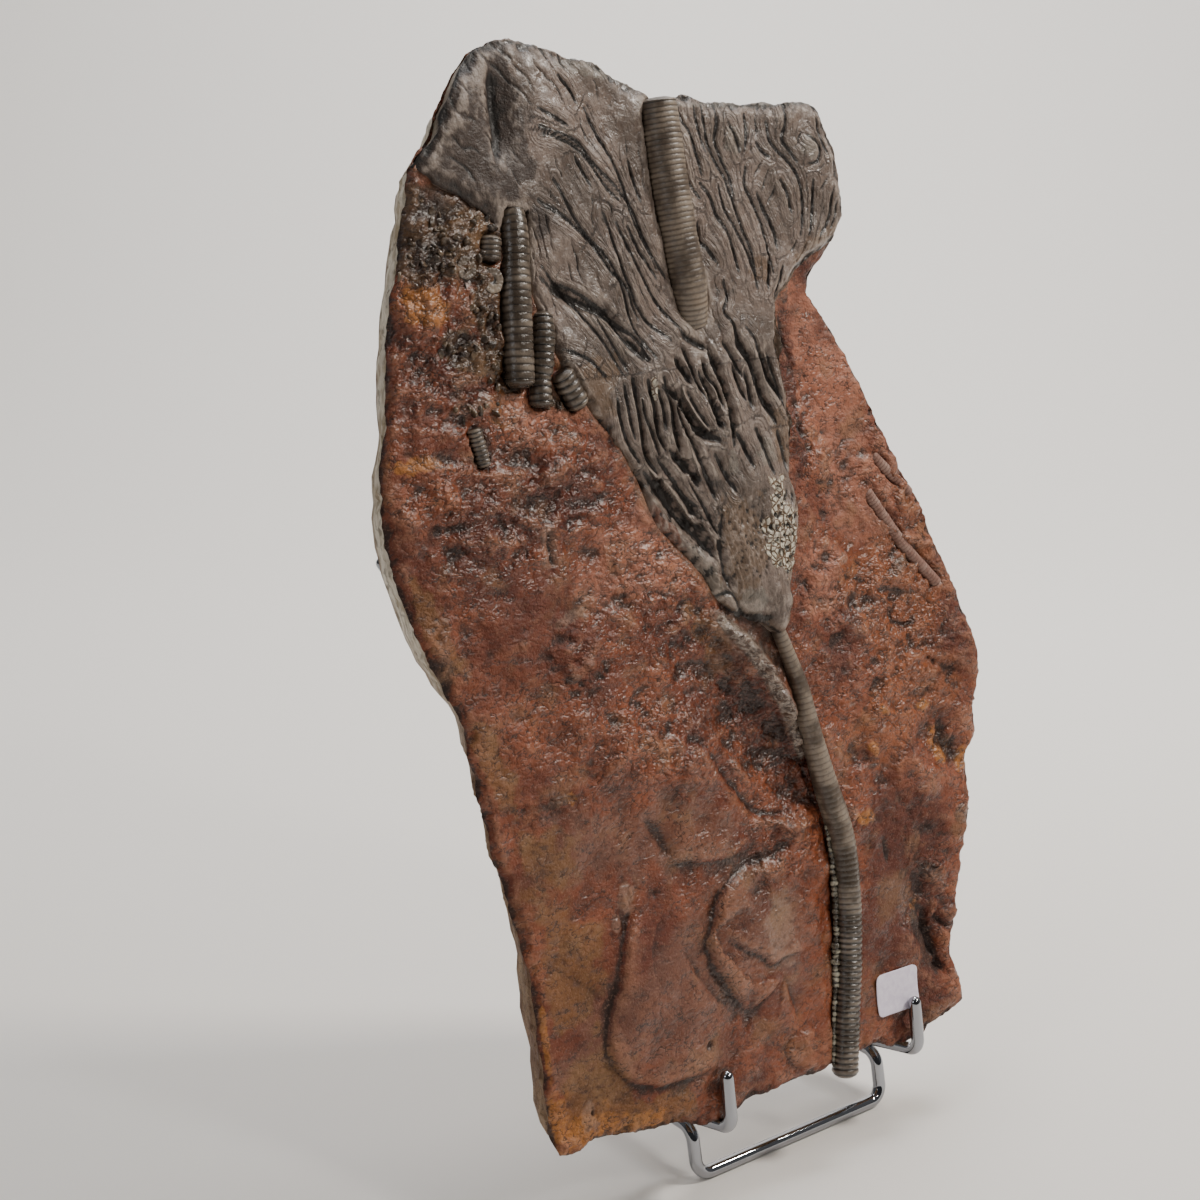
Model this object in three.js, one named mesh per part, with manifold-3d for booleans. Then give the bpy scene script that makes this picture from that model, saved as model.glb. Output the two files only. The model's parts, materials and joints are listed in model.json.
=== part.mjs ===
// A fossil sea lily (crinoid) lying in relief on a slab of red stone, which leans back on a stand of
// bent wire. Millimetres, +Z up, the fossil's face towards -Y, the origin on the table under the middle.
//
// The fossil and the slab are drawn in the slab's own frame: u to the right, v up the leaning face and
// w out of it, with the mean face of the stone at w = 0. The stand is drawn in x, y, z with the middle of
// its front bar at x = 0, y = 0.
import * as THREE from 'three';
import { mergeVertices } from 'three/addons/utils/BufferGeometryUtils.js';
import Module from 'manifold-3d';

const wasm = await Module();
wasm.setup();

// ---- Driving dimensions ---------------------------------------------------------------------------
const GAP = 0.3;                       // clearance between a piece and the bed or seat that it lies in
const SLAB_LEAN = 11;                  // how far the slab leans back, in degrees
const SLAB_FOOT = [0, -15, 33.5];      // where u = v = w = 0 is in the stand's frame
const SLAB_THICKNESS = 22;
const LEFT_THINNING = 6;               // the slab is this much thinner at its left side
const SLAB_EDGE_INSET = 8;             // how much smaller the slab's back is than its front, all round
const SLAB_GRID = { columns: 27, rows: 37 };

const CROWN_UNDERSIDE = -7.5;            // the crown is a body that goes this deep into the face
const CROWN_ARMS = 24;
const CROWN_GRID = { columns: 2 * CROWN_ARMS, rows: 14 };
const ARM_RELIEF = 1.8;                // height of an arm's back over the furrow beside it

const COLUMN_SIDES = 7;
const RING_PITCH = 5;                  // two thin stem discs to one modelled ring
const RING_DEPTH = 0.6;

const LABEL = { at: [42.5, 21.8], width: 22, height: 16.5, corner: 2.5, thickness: 0.5, turn: -1.5 };

const WIRE_RADIUS = 2.5;
const WIRE_SIDES = 8;
const BEND_STEPS = 2;                  // straight pieces to each bend of a wire
const BASE_HALF_WIDTH = 47.7;          // half the front bar, between the middles of its legs
const BASE_LENGTH = 86;                // front bar to rear bar
const RAIL_HEIGHT = 20.4;              // middle of the rails over the table
const SEAT_HALF_WIDTH = 48;            // half the distance between the two hooks
const REST_DEPTH = -28.5;              // w of the wires' middle lines behind the slab

// ---- Outlines of the slab and the crown, [u, v] -----------------------------------------------------
const SLAB_OUTLINE = {
  bottom: [[-119, 9], [-112, 7.5], [-104, 9], [-92, 8.5], [-84, 6], [-72, 4.5], [-64, 2.5],
    [-56, -0.3], [-41, -0.3], [-34, 2], [-20, 2.5], [0, 2.5], [20, 4], [34, 2.5], [41, -0.2],
    [55, -0.2], [61, 3], [68, 5], [80, 7.5]],
  top: [[-110, 371], [-104, 376], [-95, 380], [-82, 379.5], [-66, 375], [-55, 373], [-48, 368.5],
    [-36, 363.5], [-27, 360.5], [-17, 362], [-8, 360], [10, 359], [28, 358.5], [42, 357.5]],
  left: [[-119, 9], [-121, 20], [-122.5, 45], [-123, 68], [-128, 100], [-133, 121], [-136, 145],
    [-138.5, 163], [-145, 178], [-151, 194], [-155, 210], [-157.5, 228], [-156, 245], [-152, 262],
    [-149, 280], [-145, 300], [-140, 313], [-136, 328], [-132, 341], [-122, 352], [-117, 361],
    [-110, 371]],
  right: [[80, 7.5], [79, 15], [76, 26], [81, 44], [86, 64], [93, 81], [96, 104], [101, 110],
    [102, 120], [106, 136], [105, 150], [97, 172], [92, 182], [84, 204], [72, 227], [62, 254],
    [48, 280], [40, 292], [45, 301], [54, 312], [54, 320], [50, 343], [42, 357.5]],
};
const CROWN_OUTLINE = {
  bottom: [[-27, 185], [-21, 180], [-12, 175], [-4, 174], [1, 177], [4, 183]],
  top: [[-132, 341], [-122, 352], [-117, 361], [-110, 371], [-104, 376], [-95, 380], [-82, 379.5],
    [-66, 375], [-55, 373], [-48, 368.5], [-36, 363.5], [-27, 360.5], [-17, 362], [-8, 360], [10, 359],
    [28, 358.5], [42, 357.5], [50, 343], [54, 320], [54, 312]],
  left: [[-27, 185], [-38, 201], [-50, 214], [-57, 233], [-65, 246], [-74, 258], [-83, 274],
    [-90, 292], [-96, 312], [-108, 326], [-132, 341]],
  right: [[4, 183], [14, 197], [17, 213], [15, 224], [17, 240], [16, 262], [15, 274], [17, 288],
    [24, 295], [32, 301], [44, 306], [54, 312]],
};

// ---- Relief of the faces ----------------------------------------------------------------------------
// A form is a smooth swelling (or a hollow, where its rise is negative) with half sizes across and along;
// the higher its edge value, the more it is a flat-topped step.
const SLAB_FORMS = [
  { at: [-68, 48], size: [27, 29], turn: 8, rise: 3.2, edge: 5 },     // smooth lobe at the lower left
  { at: [-31, 62], size: [13, 29], turn: 22, rise: 4.2, edge: 4 },    // tongue beside it
  { at: [-5, 60], size: [15, 26], turn: 0, rise: 2 },
  { at: [-4, 14], size: [12, 9], turn: -30, rise: 2.5 },      // small lump over the bottom edge
  { at: [-10, 132], size: [13, 34], turn: 38, rise: -5.5 },   // dark hollow left of the stem
  { at: [-12, 158], size: [5, 24], turn: 38, rise: 3 },       // crust along the stem's left side
  { at: [-60, 138], size: [34, 12], turn: -12, rise: 2.5 },   // rough band across the middle
  { at: [-110, 196], size: [34, 60], turn: 0, rise: 2 },
  { at: [-100, 238], size: [48, 5], turn: 4, rise: 1.5 },     // low curved ledges
  { at: [-98, 228], size: [48, 4], turn: 3, rise: -1.5 },
  { at: [-128, 298], size: [14, 12], turn: 30, rise: 2 },     // ochre knob
  { at: [-112, 16], size: [22, 12], turn: -10, rise: -3 },    // low corner at the bottom left
  { at: [42, 262], size: [26, 52], turn: 12, rise: -6.5 },    // sunken field right of the crown
  { at: [60, 180], size: [34, 40], turn: 20, rise: -2.5 },
  { at: [63, 40], size: [7, 22], turn: 15, rise: -4 },        // dark cleft at the lower right
  { at: [80, 114], size: [10, 13], turn: 35, rise: -3 },      // pit
  { at: [52, 158], size: [22, 6], turn: -35, rise: 1.5 },
  { at: [88, 132], size: [16, 6], turn: -20, rise: -2 },
  { at: [58, 104], size: [16, 10], turn: -10, rise: 1.5 },
  { at: [-48, 9], size: [9, 13], turn: 0, rise: -1.6 },       // flats where the hooks bear
  { at: [48, 9], size: [9, 13], turn: 0, rise: -1 },
];
const CROWN_FORMS = [
  { at: [-8, 208], size: [18, 34], turn: -8, rise: 5 },       // the cup, above the stem
  { at: [-30, 255], size: [30, 20], turn: 20, rise: 3 },      // bases of the arms
  { at: [-40, 225], size: [6, 16], turn: 35, rise: -3 },      // deep furrow on the cup's left
  { at: [-112, 352], size: [16, 20], turn: -20, rise: 2.5 },  // lumpy stone at the top left corner
  { at: [-96, 360], size: [4, 14], turn: 0, rise: -2.5 },     // groove beside it
  { at: [35, 335], size: [20, 26], turn: 0, rise: 1.5 },
];
// A slow uneven roll of the stone: [amplitude, wavelength along u, wavelength along v, phase].
const SLAB_ROLL = [[0.7, 61, 97, 0.4], [0.5, 37, 43, 2.1], [0.35, 23, 29, 4.4]];
const BACK_ROLL = [[1.6, 140, 170, 1.2], [1.1, 67, 83, 3.3], [0.7, 39, 47, 5.1]];

// ---- Columns lying on or in the face: paths of [u, v, w] --------------------------------------------
const MAIN_STEM = {
  path: [[-2, 176, 0.5], [1.2, 169, 0.3], [5, 159, 0], [8.8, 147, 0], [11, 133, 0.3], [13.4, 120, 0.6],
    [16, 108, 0.8], [18.8, 97, 1], [20.5, 86, 1.2], [20.8, 74, 1.4], [20, 62, 1.6], [18.6, 50, 1.8],
    [16.2, 36, 2], [13.6, 22, 2], [11.2, 8, 2], [9.6, -2, 2]],
  radii: [3.2, 3.4, 3.6, 4.1, 4.9, 5.2, 5.3, 5.3, 5.3, 5.3, 5.3, 5.3, 5.3, 5.2, 5.2, 5.1],
  pitch: 6.5,
};
const COLUMNS = {
  upper_column: { path: [[-30, 361, 1], [-29, 340, 1], [-27, 315, 1], [-23, 284, 0.6]], radius: 6.9 },
  left_column: { path: [[-94, 327, -0.5], [-97, 305, 0], [-99, 288, 0.6], [-101, 268, 1]], radius: 5.3 },
  short_column_1: { path: [[-89, 289, 0.4], [-90.5, 276, 0.6], [-93.5, 260.5, 1]], radius: 4.1 },
  short_column_2: { path: [[-84, 272, 1], [-77.5, 259, 1]], radius: 4.2 },
  short_column_3: { path: [[-105, 318, 0.5], [-106.5, 309.5, 0.5]], radius: 3.6 },
  small_fragment: { path: [[-120.5, 257, 0.3], [-118, 244, 0.3]], radius: 2.6 },
  thin_column_1: { path: [[58, 214, -4.6], [74, 191, -4.4], [90, 173, -3]], radius: 2.4, pitch: 7 },
  thin_column_2: { path: [[63, 227, -4.2], [80, 210, -3.4]], radius: 2.2, pitch: 6 },
};
const COLUMNAL_RINGS = {
  columnal_ring_1: { at: [-117, 308], radius: 3.9 },
  columnal_ring_2: { at: [-107.5, 303.5], radius: 4.4 },
};
const COLUMNAL_BOTTOM = -2;
const COLUMNAL_TOP = 2.6;

// ---- Small geometry helpers -------------------------------------------------------------------------
const radians = THREE.MathUtils.degToRad;
const vector = ([x, y, z]) => new THREE.Vector3(x, y, z);
const smoothCurve = (points) => new THREE.CatmullRomCurve3(points.map(vector), false, 'centripetal');

function toSolid(geometry) {
  const bare = geometry.clone();
  bare.deleteAttribute('normal');
  bare.deleteAttribute('uv');
  const merged = mergeVertices(bare, 1e-4);
  return new wasm.Manifold(new wasm.Mesh({
    numProp: 3,
    vertProperties: merged.attributes.position.array,
    triVerts: Uint32Array.from(merged.index.array),
  }));
}

function toGeometry(body) {
  const { vertProperties, triVerts } = body.getMesh();
  const geometry = new THREE.BufferGeometry();
  geometry.setAttribute('position', new THREE.BufferAttribute(vertProperties, 3));
  geometry.setIndex(new THREE.BufferAttribute(triVerts, 1));
  return geometry;
}

function fromFaces(vertices, faces) {
  const geometry = new THREE.BufferGeometry();
  geometry.setAttribute('position', new THREE.Float32BufferAttribute(vertices.flat(), 3));
  geometry.setIndex(faces.flat());
  return geometry;
}

// The grid of [u, v] points that fills the patch between four edge lines (a Coons patch).
function fillPatch({ bottom, top, left, right }, { columns, rows }) {
  const along = (line, count) => smoothCurve(line.map(([u, v]) => [u, v, 0])).getSpacedPoints(count);
  const [low, high] = [along(bottom, columns), along(top, columns)];
  const [west, east] = [along(left, rows), along(right, rows)];
  const grid = [];
  for (let j = 0; j <= rows; j++) {
    const up = j / rows;
    grid.push([]);
    for (let i = 0; i <= columns; i++) {
      const across = i / columns;
      const corners = new THREE.Vector3().lerpVectors(low[0], low[columns], across)
        .lerp(new THREE.Vector3().lerpVectors(high[0], high[columns], across), up);
      const point = new THREE.Vector3().lerpVectors(low[i], high[i], up)
        .add(new THREE.Vector3().lerpVectors(west[j], east[j], across)).sub(corners);
      grid[j].push([point.x, point.y]);
    }
  }
  return grid;
}

// The rim of a grid as [column, row] pairs, anticlockwise as seen from the front.
function rimOf({ columns, rows }) {
  const rim = [];
  for (let i = 0; i < columns; i++) rim.push([i, 0]);
  for (let j = 0; j < rows; j++) rim.push([columns, j]);
  for (let i = columns; i > 0; i--) rim.push([i, rows]);
  for (let j = rows; j > 0; j--) rim.push([0, j]);
  return rim;
}

// A closed body with a relief front: a grid of heights, a wall down from its rim and a flat floor whose
// outline is drawn in towards the middle by an inset.
function reliefBody(grid, size, heightAt, floor, inset) {
  const vertices = [];
  const faces = [];
  const index = (i, j) => j * (size.columns + 1) + i;
  grid.forEach((row, j) => row.forEach(([u, v], i) => {
    const edge = Math.min(i, j, size.columns - i, size.rows - j);
    vertices.push([u, v, heightAt(u, v, edge, i, j)]);
    if (i === size.columns || j === size.rows) return;
    const [a, b, c, d] = [index(i, j), index(i + 1, j), index(i + 1, j + 1), index(i, j + 1)];
    if ((i + j) % 2) faces.push([a, b, c], [a, c, d]);
    else faces.push([a, b, d], [b, c, d]);
  }));
  const rim = rimOf(size);
  const contour = rim.map(([i, j]) => new THREE.Vector2(...grid[j][i]));
  const middle = contour.reduce((sum, p) => sum.add(p), new THREE.Vector2()).divideScalar(contour.length);
  const first = vertices.length;
  contour.forEach((p) => {
    p.addScaledVector(middle.clone().sub(p).normalize(), inset);
    vertices.push([p.x, p.y, floor]);
  });
  rim.forEach(([i, j], k) => {
    const next = (k + 1) % rim.length;
    const [a, b] = [index(i, j), index(...rim[next])];
    faces.push([a, first + k, b], [b, first + k, first + next]);
  });
  for (const [a, b, c] of THREE.ShapeUtils.triangulateShape(contour, [])) {
    const turn = contour[b].clone().sub(contour[a]).cross(contour[c].clone().sub(contour[a]));
    faces.push(turn > 0 ? [first + a, first + c, first + b] : [first + a, first + b, first + c]);
  }
  return toSolid(fromFaces(vertices, faces));
}

// A body swept along stations of { at, radius }. A closed one joins its last station to its first, and
// those two lie on one straight line, so that the section comes back as it left.
function sweep(stations, sides, closed = false) {
  const count = stations.length;
  const tangents = stations.map((_, i) => {
    const before = stations[closed ? (i + count - 1) % count : Math.max(i - 1, 0)].at;
    const after = stations[closed ? (i + 1) % count : Math.min(i + 1, count - 1)].at;
    return after.clone().sub(before).normalize();
  });
  const normals = [new THREE.Vector3(0, 0, 1).cross(tangents[0]).normalize()];
  const carry = (normal, from, to) => normal.clone()
    .applyQuaternion(new THREE.Quaternion().setFromUnitVectors(from, to));
  for (let i = 1; i < count; i++) normals.push(carry(normals[i - 1], tangents[i - 1], tangents[i]));
  let twist = 0;
  if (closed) {
    const back = carry(normals[count - 1], tangents[count - 1], tangents[0]);
    twist = Math.atan2(back.clone().cross(normals[0]).dot(tangents[0]), back.dot(normals[0])) / (count - 1);
  }
  const vertices = [];
  stations.forEach(({ at, radius }, i) => {
    const normal = normals[i].clone().applyAxisAngle(tangents[i], twist * i);
    const side = tangents[i].clone().cross(normal);
    for (let k = 0; k < sides; k++) {
      const angle = 2 * Math.PI * (k + 0.5) / sides;
      vertices.push(at.clone().addScaledVector(normal, radius * Math.cos(angle))
        .addScaledVector(side, radius * Math.sin(angle)).toArray());
    }
  });
  const faces = [];
  for (let i = 0; i < (closed ? count : count - 1); i++) {
    for (let k = 0; k < sides; k++) {
      const [a, b] = [i * sides + k, i * sides + (k + 1) % sides];
      const [c, d] = [((i + 1) % count) * sides + k, ((i + 1) % count) * sides + (k + 1) % sides];
      faces.push([a, b, d], [a, d, c]);
    }
  }
  if (!closed) {
    const last = (count - 1) * sides;
    for (let k = 1; k < sides - 1; k++) {
      faces.push([0, k + 1, k], [last, last + k, last + k + 1]);
    }
  }
  return toSolid(fromFaces(vertices, faces));
}

// ---- Relief ------------------------------------------------------------------------------------------
function formHeight(forms, u, v) {
  return forms.reduce((sum, { at, size, turn, rise, edge = 2 }) => {
    const [du, dv] = [u - at[0], v - at[1]];
    const [c, s] = [Math.cos(radians(turn)), Math.sin(radians(turn))];
    const reach = ((du * c + dv * s) / size[0]) ** 2 + ((dv * c - du * s) / size[1]) ** 2;
    return sum + rise / (1 + reach ** edge);
  }, 0);
}

function rollHeight(rolls, u, v) {
  return rolls.reduce((sum, [rise, alongU, alongV, phase]) => sum
    + rise * Math.sin(2 * Math.PI * u / alongU + phase) * Math.cos(2 * Math.PI * v / alongV - phase), 0);
}

const EDGE_DROP = [2.6, 0.8];           // how far the rim, and the points next to it, fall back

function slabHeight(u, v, edge) {
  return formHeight(SLAB_FORMS, u, v) + rollHeight(SLAB_ROLL, u, v) - (EDGE_DROP[edge] ?? 0);
}

// Arms run up the grid's columns: every second column is an arm's back and the others are furrows.
function crownHeight(u, v, edge, column, row) {
  const spread = Math.min(1, row / 3);
  const arm = (column % 2 ? 1 : -1) * ARM_RELIEF / 2 * spread;
  return 1.2 + formHeight(CROWN_FORMS, u, v) + rollHeight(SLAB_ROLL, u, v) + arm
    - 0.7 * (EDGE_DROP[edge] ?? 0);
}

// ---- The stone -----------------------------------------------------------------------------------------
function backTrim() {
  const size = { columns: 8, rows: 11 };
  const [left, right, low, high] = [-172, 122, -10, 396];
  const frame = {
    bottom: [[left, low], [right, low]], top: [[left, high], [right, high]],
    left: [[left, low], [left, high]], right: [[right, low], [right, high]],
  };
  const backHeight = (u, v) => -SLAB_THICKNESS - rollHeight(BACK_ROLL, u, v)
    + LEFT_THINNING * THREE.MathUtils.smoothstep(-u, 20, 130);
  return reliefBody(fillPatch(frame, size), size, backHeight, -60, 0);
}

function crownPocket(grid) {
  const contour = rimOf(CROWN_GRID).map(([i, j]) => new THREE.Vector2(...grid[j][i]));
  const count = contour.length;
  const wider = contour.map((p, k) => {
    const along = contour[(k + 1) % count].clone().sub(contour[(k + count - 1) % count]).normalize();
    return new THREE.Vector2(p.x + along.y * GAP, p.y - along.x * GAP);
  });
  const depth = 30;
  const prism = new THREE.ExtrudeGeometry(new THREE.Shape(wider), { depth, bevelEnabled: false });
  return toSolid(prism.translate(0, 0, CROWN_UNDERSIDE - GAP));
}

// ---- Columns ---------------------------------------------------------------------------------------------
function ringStations(path, radiusAt, pitch) {
  const curve = smoothCurve(path);
  const rings = Math.max(2, Math.round(curve.getLength() / pitch));
  const stations = [];
  for (let k = 0; k <= 2 * rings; k++) {
    const t = k / (2 * rings);
    stations.push({ at: curve.getPointAt(t), radius: radiusAt(t) - (k % 2 ? RING_DEPTH : 0) });
  }
  return stations;
}

// The plain bore that a column lies in: a gap wider than the column, and as much longer at both ends.
function boreStations(path, radiusAt, steps) {
  const curve = smoothCurve(path);
  const stations = [];
  for (let k = 0; k <= steps; k++) {
    stations.push({ at: curve.getPointAt(k / steps), radius: radiusAt(k / steps) + GAP + 0.1 });
  }
  const [first, last] = [stations[0], stations[steps]];
  first.at.addScaledVector(curve.getTangentAt(0), -GAP);
  last.at.addScaledVector(curve.getTangentAt(1), GAP);
  return stations;
}

function stemRadius(t) {
  const place = t * (MAIN_STEM.radii.length - 1);
  const step = Math.min(Math.floor(place), MAIN_STEM.radii.length - 2);
  return THREE.MathUtils.lerp(MAIN_STEM.radii[step], MAIN_STEM.radii[step + 1], place - step);
}

const columns = Object.entries(COLUMNS).map(([name, { path, radius, pitch = RING_PITCH }]) => ({
  name,
  body: sweep(ringStations(path, () => radius, pitch), COLUMN_SIDES),
  bore: sweep(boreStations(path, () => radius, 8), COLUMN_SIDES),
}));
columns.push({
  name: 'main_stem',
  body: sweep(ringStations(MAIN_STEM.path, stemRadius, MAIN_STEM.pitch), COLUMN_SIDES),
  bore: sweep(boreStations(MAIN_STEM.path, stemRadius, 2 * MAIN_STEM.path.length), COLUMN_SIDES),
});

function disc([u, v], radius, bottom, top) {
  const drum = new THREE.CylinderGeometry(radius, radius, top - bottom, COLUMN_SIDES + 4);
  return toSolid(drum.rotateX(Math.PI / 2).translate(u, v, (bottom + top) / 2));
}

const rings = Object.entries(COLUMNAL_RINGS).map(([name, { at, radius }]) => ({
  name,
  body: disc(at, radius, COLUMNAL_BOTTOM, COLUMNAL_TOP),
  bore: disc(at, radius + GAP, COLUMNAL_BOTTOM - GAP, COLUMNAL_TOP + 10),
}));

// ---- Label ------------------------------------------------------------------------------------------
function labelBody(grow, bottom, thickness) {
  const { at, width, height, corner, turn } = LABEL;
  const [w, h, r] = [width / 2 + grow, height / 2 + grow, corner + grow];
  const shape = new THREE.Shape();
  shape.moveTo(-w + r, -h);
  shape.lineTo(w - r, -h);
  shape.absarc(w - r, -h + r, r, -Math.PI / 2, 0);
  shape.absarc(w - r, h - r, r, 0, Math.PI / 2);
  shape.absarc(-w + r, h - r, r, Math.PI / 2, Math.PI);
  shape.absarc(-w + r, -h + r, r, Math.PI, 1.5 * Math.PI);
  const plate = new THREE.ExtrudeGeometry(shape, { depth: thickness, bevelEnabled: false, curveSegments: 2 });
  return toSolid(plate.rotateZ(radians(turn)).translate(at[0], at[1], bottom));
}

// ---- Fossil and slab --------------------------------------------------------------------------------
const crownGrid = fillPatch(CROWN_OUTLINE, CROWN_GRID);
let crown = reliefBody(crownGrid, CROWN_GRID, crownHeight, CROWN_UNDERSIDE, 0);
let slab = reliefBody(fillPatch(SLAB_OUTLINE, SLAB_GRID), SLAB_GRID, slabHeight,
  -SLAB_THICKNESS - 6, SLAB_EDGE_INSET).subtract(backTrim()).subtract(crownPocket(crownGrid));
for (const { bore } of [...columns, ...rings]) {
  slab = slab.subtract(bore);
  crown = crown.subtract(bore);
}
slab = slab.subtract(labelBody(GAP, -GAP, 12));

// A cut can leave thin chips at a rim; the piece itself is the largest body.
const largestBody = (cut) => cut.decompose().sort((a, b) => b.volume() - a.volume())[0];

// ---- Stand ------------------------------------------------------------------------------------------
// The middle line of a wire through its corners, each rounded over the given reach.
function wireStations(corners, reach, closed = false) {
  const count = corners.length;
  const stations = [];
  corners.map(vector).forEach((corner, i, all) => {
    const isEnd = !closed && (i === 0 || i === count - 1);
    if (isEnd) {
      stations.push({ at: corner, radius: WIRE_RADIUS });
      return;
    }
    const before = all[(i + count - 1) % count];
    const after = all[(i + 1) % count];
    const start = corner.clone().addScaledVector(before.clone().sub(corner).normalize(), reach);
    const finish = corner.clone().addScaledVector(after.clone().sub(corner).normalize(), reach);
    const bend = new THREE.QuadraticBezierCurve3(start, corner, finish);
    for (const at of bend.getPoints(BEND_STEPS)) stations.push({ at, radius: WIRE_RADIUS });
  });
  return stations;
}

const slabFrame = new THREE.Group();
slabFrame.name = 'slab_frame';
slabFrame.position.set(...SLAB_FOOT);
slabFrame.rotation.x = radians(90 - SLAB_LEAN);
slabFrame.updateMatrixWorld(true);
const inStand = (point) => vector(point).applyMatrix4(slabFrame.matrixWorld).toArray();

// One closed loop: front bar, legs, rails, rear legs and rear bar. It starts and ends on the front bar.
function standBase() {
  const leg = 3.9;                      // the front legs lean back by this much
  const w = BASE_HALF_WIDTH;
  const corners = [
    [w, 0, WIRE_RADIUS], [w, leg, RAIL_HEIGHT], [w, BASE_LENGTH, RAIL_HEIGHT],
    [w, BASE_LENGTH, WIRE_RADIUS], [-w, BASE_LENGTH, WIRE_RADIUS], [-w, BASE_LENGTH, RAIL_HEIGHT],
    [-w, leg, RAIL_HEIGHT], [-w, 0, WIRE_RADIUS],
  ];
  const barEnd = (x) => ({ at: vector([x, 0, WIRE_RADIUS]), radius: WIRE_RADIUS });
  const bends = wireStations(corners, 6, true);
  return sweep([barEnd(w - 20), ...bends, barEnd(20 - w)], WIRE_SIDES, true);
}

// One side wire: hook in front of the slab, seat under it, and a back rest that spreads outwards.
function sideWire(side, rest) {
  const u = side * SEAT_HALF_WIDTH;
  const corners = [inStand([u, 18.5, 3.4]), inStand([u, -3.2, 3]), inStand([u, -4.1, REST_DEPTH]),
    ...rest.map(inStand)];
  return sweep(wireStations(corners, 5), WIRE_SIDES);
}
const LEFT_REST = [[-103.5, 63, REST_DEPTH], [-100, 140, REST_DEPTH], [-144.5, 218, REST_DEPTH]];
const RIGHT_REST = [[70, 63, REST_DEPTH], [66, 140, REST_DEPTH], [62, 200, REST_DEPTH]];

// ---- Finishes and the object ------------------------------------------------------------------------
const finish = (color, roughness, metalness = 0) => new THREE.MeshStandardMaterial({
  color, roughness, metalness, flatShading: true,
});
const redStone = finish(0x7d4a3a, 0.6);
const darkFossil = finish(0x4f4844, 0.35);
const stemFossil = finish(0x5a5548, 0.4);
const labelPaper = finish(0xe2d9e4, 0.6);
const chrome = finish(0xd0d2d6, 0.08, 1);

function addPiece(group, name, body, material) {
  const mesh = new THREE.Mesh(toGeometry(body), material);
  mesh.name = name;
  group.add(mesh);
}

addPiece(slabFrame, 'matrix_slab', largestBody(slab), redStone);
addPiece(slabFrame, 'crown', largestBody(crown), darkFossil);
for (const { name, body } of [...columns, ...rings]) addPiece(slabFrame, name, body, stemFossil);
addPiece(slabFrame, 'label', labelBody(0, 0, LABEL.thickness), labelPaper);

const object = new THREE.Group();
object.add(slabFrame);
addPiece(object, 'stand_base', standBase(), chrome);
addPiece(object, 'stand_side_left', sideWire(-1, LEFT_REST), chrome);
addPiece(object, 'stand_side_right', sideWire(1, RIGHT_REST), chrome);

// Set the whole object over the origin, on the table.
const box = new THREE.Box3().setFromObject(object);
const middle = box.getCenter(new THREE.Vector3());
object.position.set(-middle.x, -middle.y, -box.min.z);

export default object;
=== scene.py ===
# %% [markdown]
# # A crinoid fossil on its stand
#
# A crinoid, or sea lily, is an animal with a ringed stem, a cup and a crown of long arms. This one lies in
# relief on a slab of red mudstone, which leans back on a stand of bent chrome wire. The solids of the frame
# say where every piece is. Here each of them gets its real surface.

# %% Load the frame
import json
import math

import bpy
import numpy as np
from mathutils import Matrix, Vector, kdtree

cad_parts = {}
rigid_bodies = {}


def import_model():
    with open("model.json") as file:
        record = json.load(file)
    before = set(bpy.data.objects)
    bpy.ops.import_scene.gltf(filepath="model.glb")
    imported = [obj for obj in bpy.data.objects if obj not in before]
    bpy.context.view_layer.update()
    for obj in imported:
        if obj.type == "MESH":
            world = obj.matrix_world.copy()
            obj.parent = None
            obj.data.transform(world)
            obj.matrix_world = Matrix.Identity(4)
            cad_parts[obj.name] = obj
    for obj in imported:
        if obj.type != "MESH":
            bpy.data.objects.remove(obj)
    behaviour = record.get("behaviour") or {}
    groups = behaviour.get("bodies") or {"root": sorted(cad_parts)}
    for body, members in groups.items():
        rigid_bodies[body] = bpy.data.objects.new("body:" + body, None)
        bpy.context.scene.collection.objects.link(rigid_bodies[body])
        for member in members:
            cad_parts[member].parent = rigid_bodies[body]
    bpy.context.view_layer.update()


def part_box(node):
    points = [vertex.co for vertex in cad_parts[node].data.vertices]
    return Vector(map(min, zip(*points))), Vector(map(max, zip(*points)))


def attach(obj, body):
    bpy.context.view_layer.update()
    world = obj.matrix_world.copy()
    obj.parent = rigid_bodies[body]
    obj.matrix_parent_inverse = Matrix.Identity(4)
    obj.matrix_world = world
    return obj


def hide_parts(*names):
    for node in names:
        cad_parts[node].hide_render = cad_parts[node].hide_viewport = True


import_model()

# %% [markdown]
# The stone is easiest to draw in its own frame, in millimetres: u to the right, v up the leaning face, and
# w out of it. The stand's front bar gives the place where that frame belongs, so nothing is fitted by eye.

# %% Where the slab's own frame lies
MM = 0.001
WIRE_RADIUS = 2.5
SOLID_WIRE_SIDES = 8
WIRE_FLAT = WIRE_RADIUS * math.cos(math.pi / SOLID_WIRE_SIDES)  # the solids' wire: middle to flat side
SLAB_FOOT = (0, -15, 33.5)
SLAB_LEAN = 11

base_low, base_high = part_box("stand_base")
table_height = base_low.z + (WIRE_FLAT - WIRE_RADIUS) * MM
stand_middle = Vector(((base_low.x + base_high.x) / 2, base_low.y + WIRE_FLAT * MM, table_height))
stand_frame = Matrix.Translation(stand_middle) @ Matrix.Scale(MM, 4)
slab_frame = (stand_frame @ Matrix.Translation(SLAB_FOOT)
              @ Matrix.Rotation(math.radians(90 - SLAB_LEAN), 4, "X"))


def placed(points, base=slab_frame):
    """Points in millimetres in the given frame, as an array of points in metres."""
    turn = np.array(base)
    return np.asarray(points, float) @ turn[:3, :3].T + turn[:3, 3]


print("front bar's middle:", [round(x, 4) for x in stand_middle])

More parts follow.
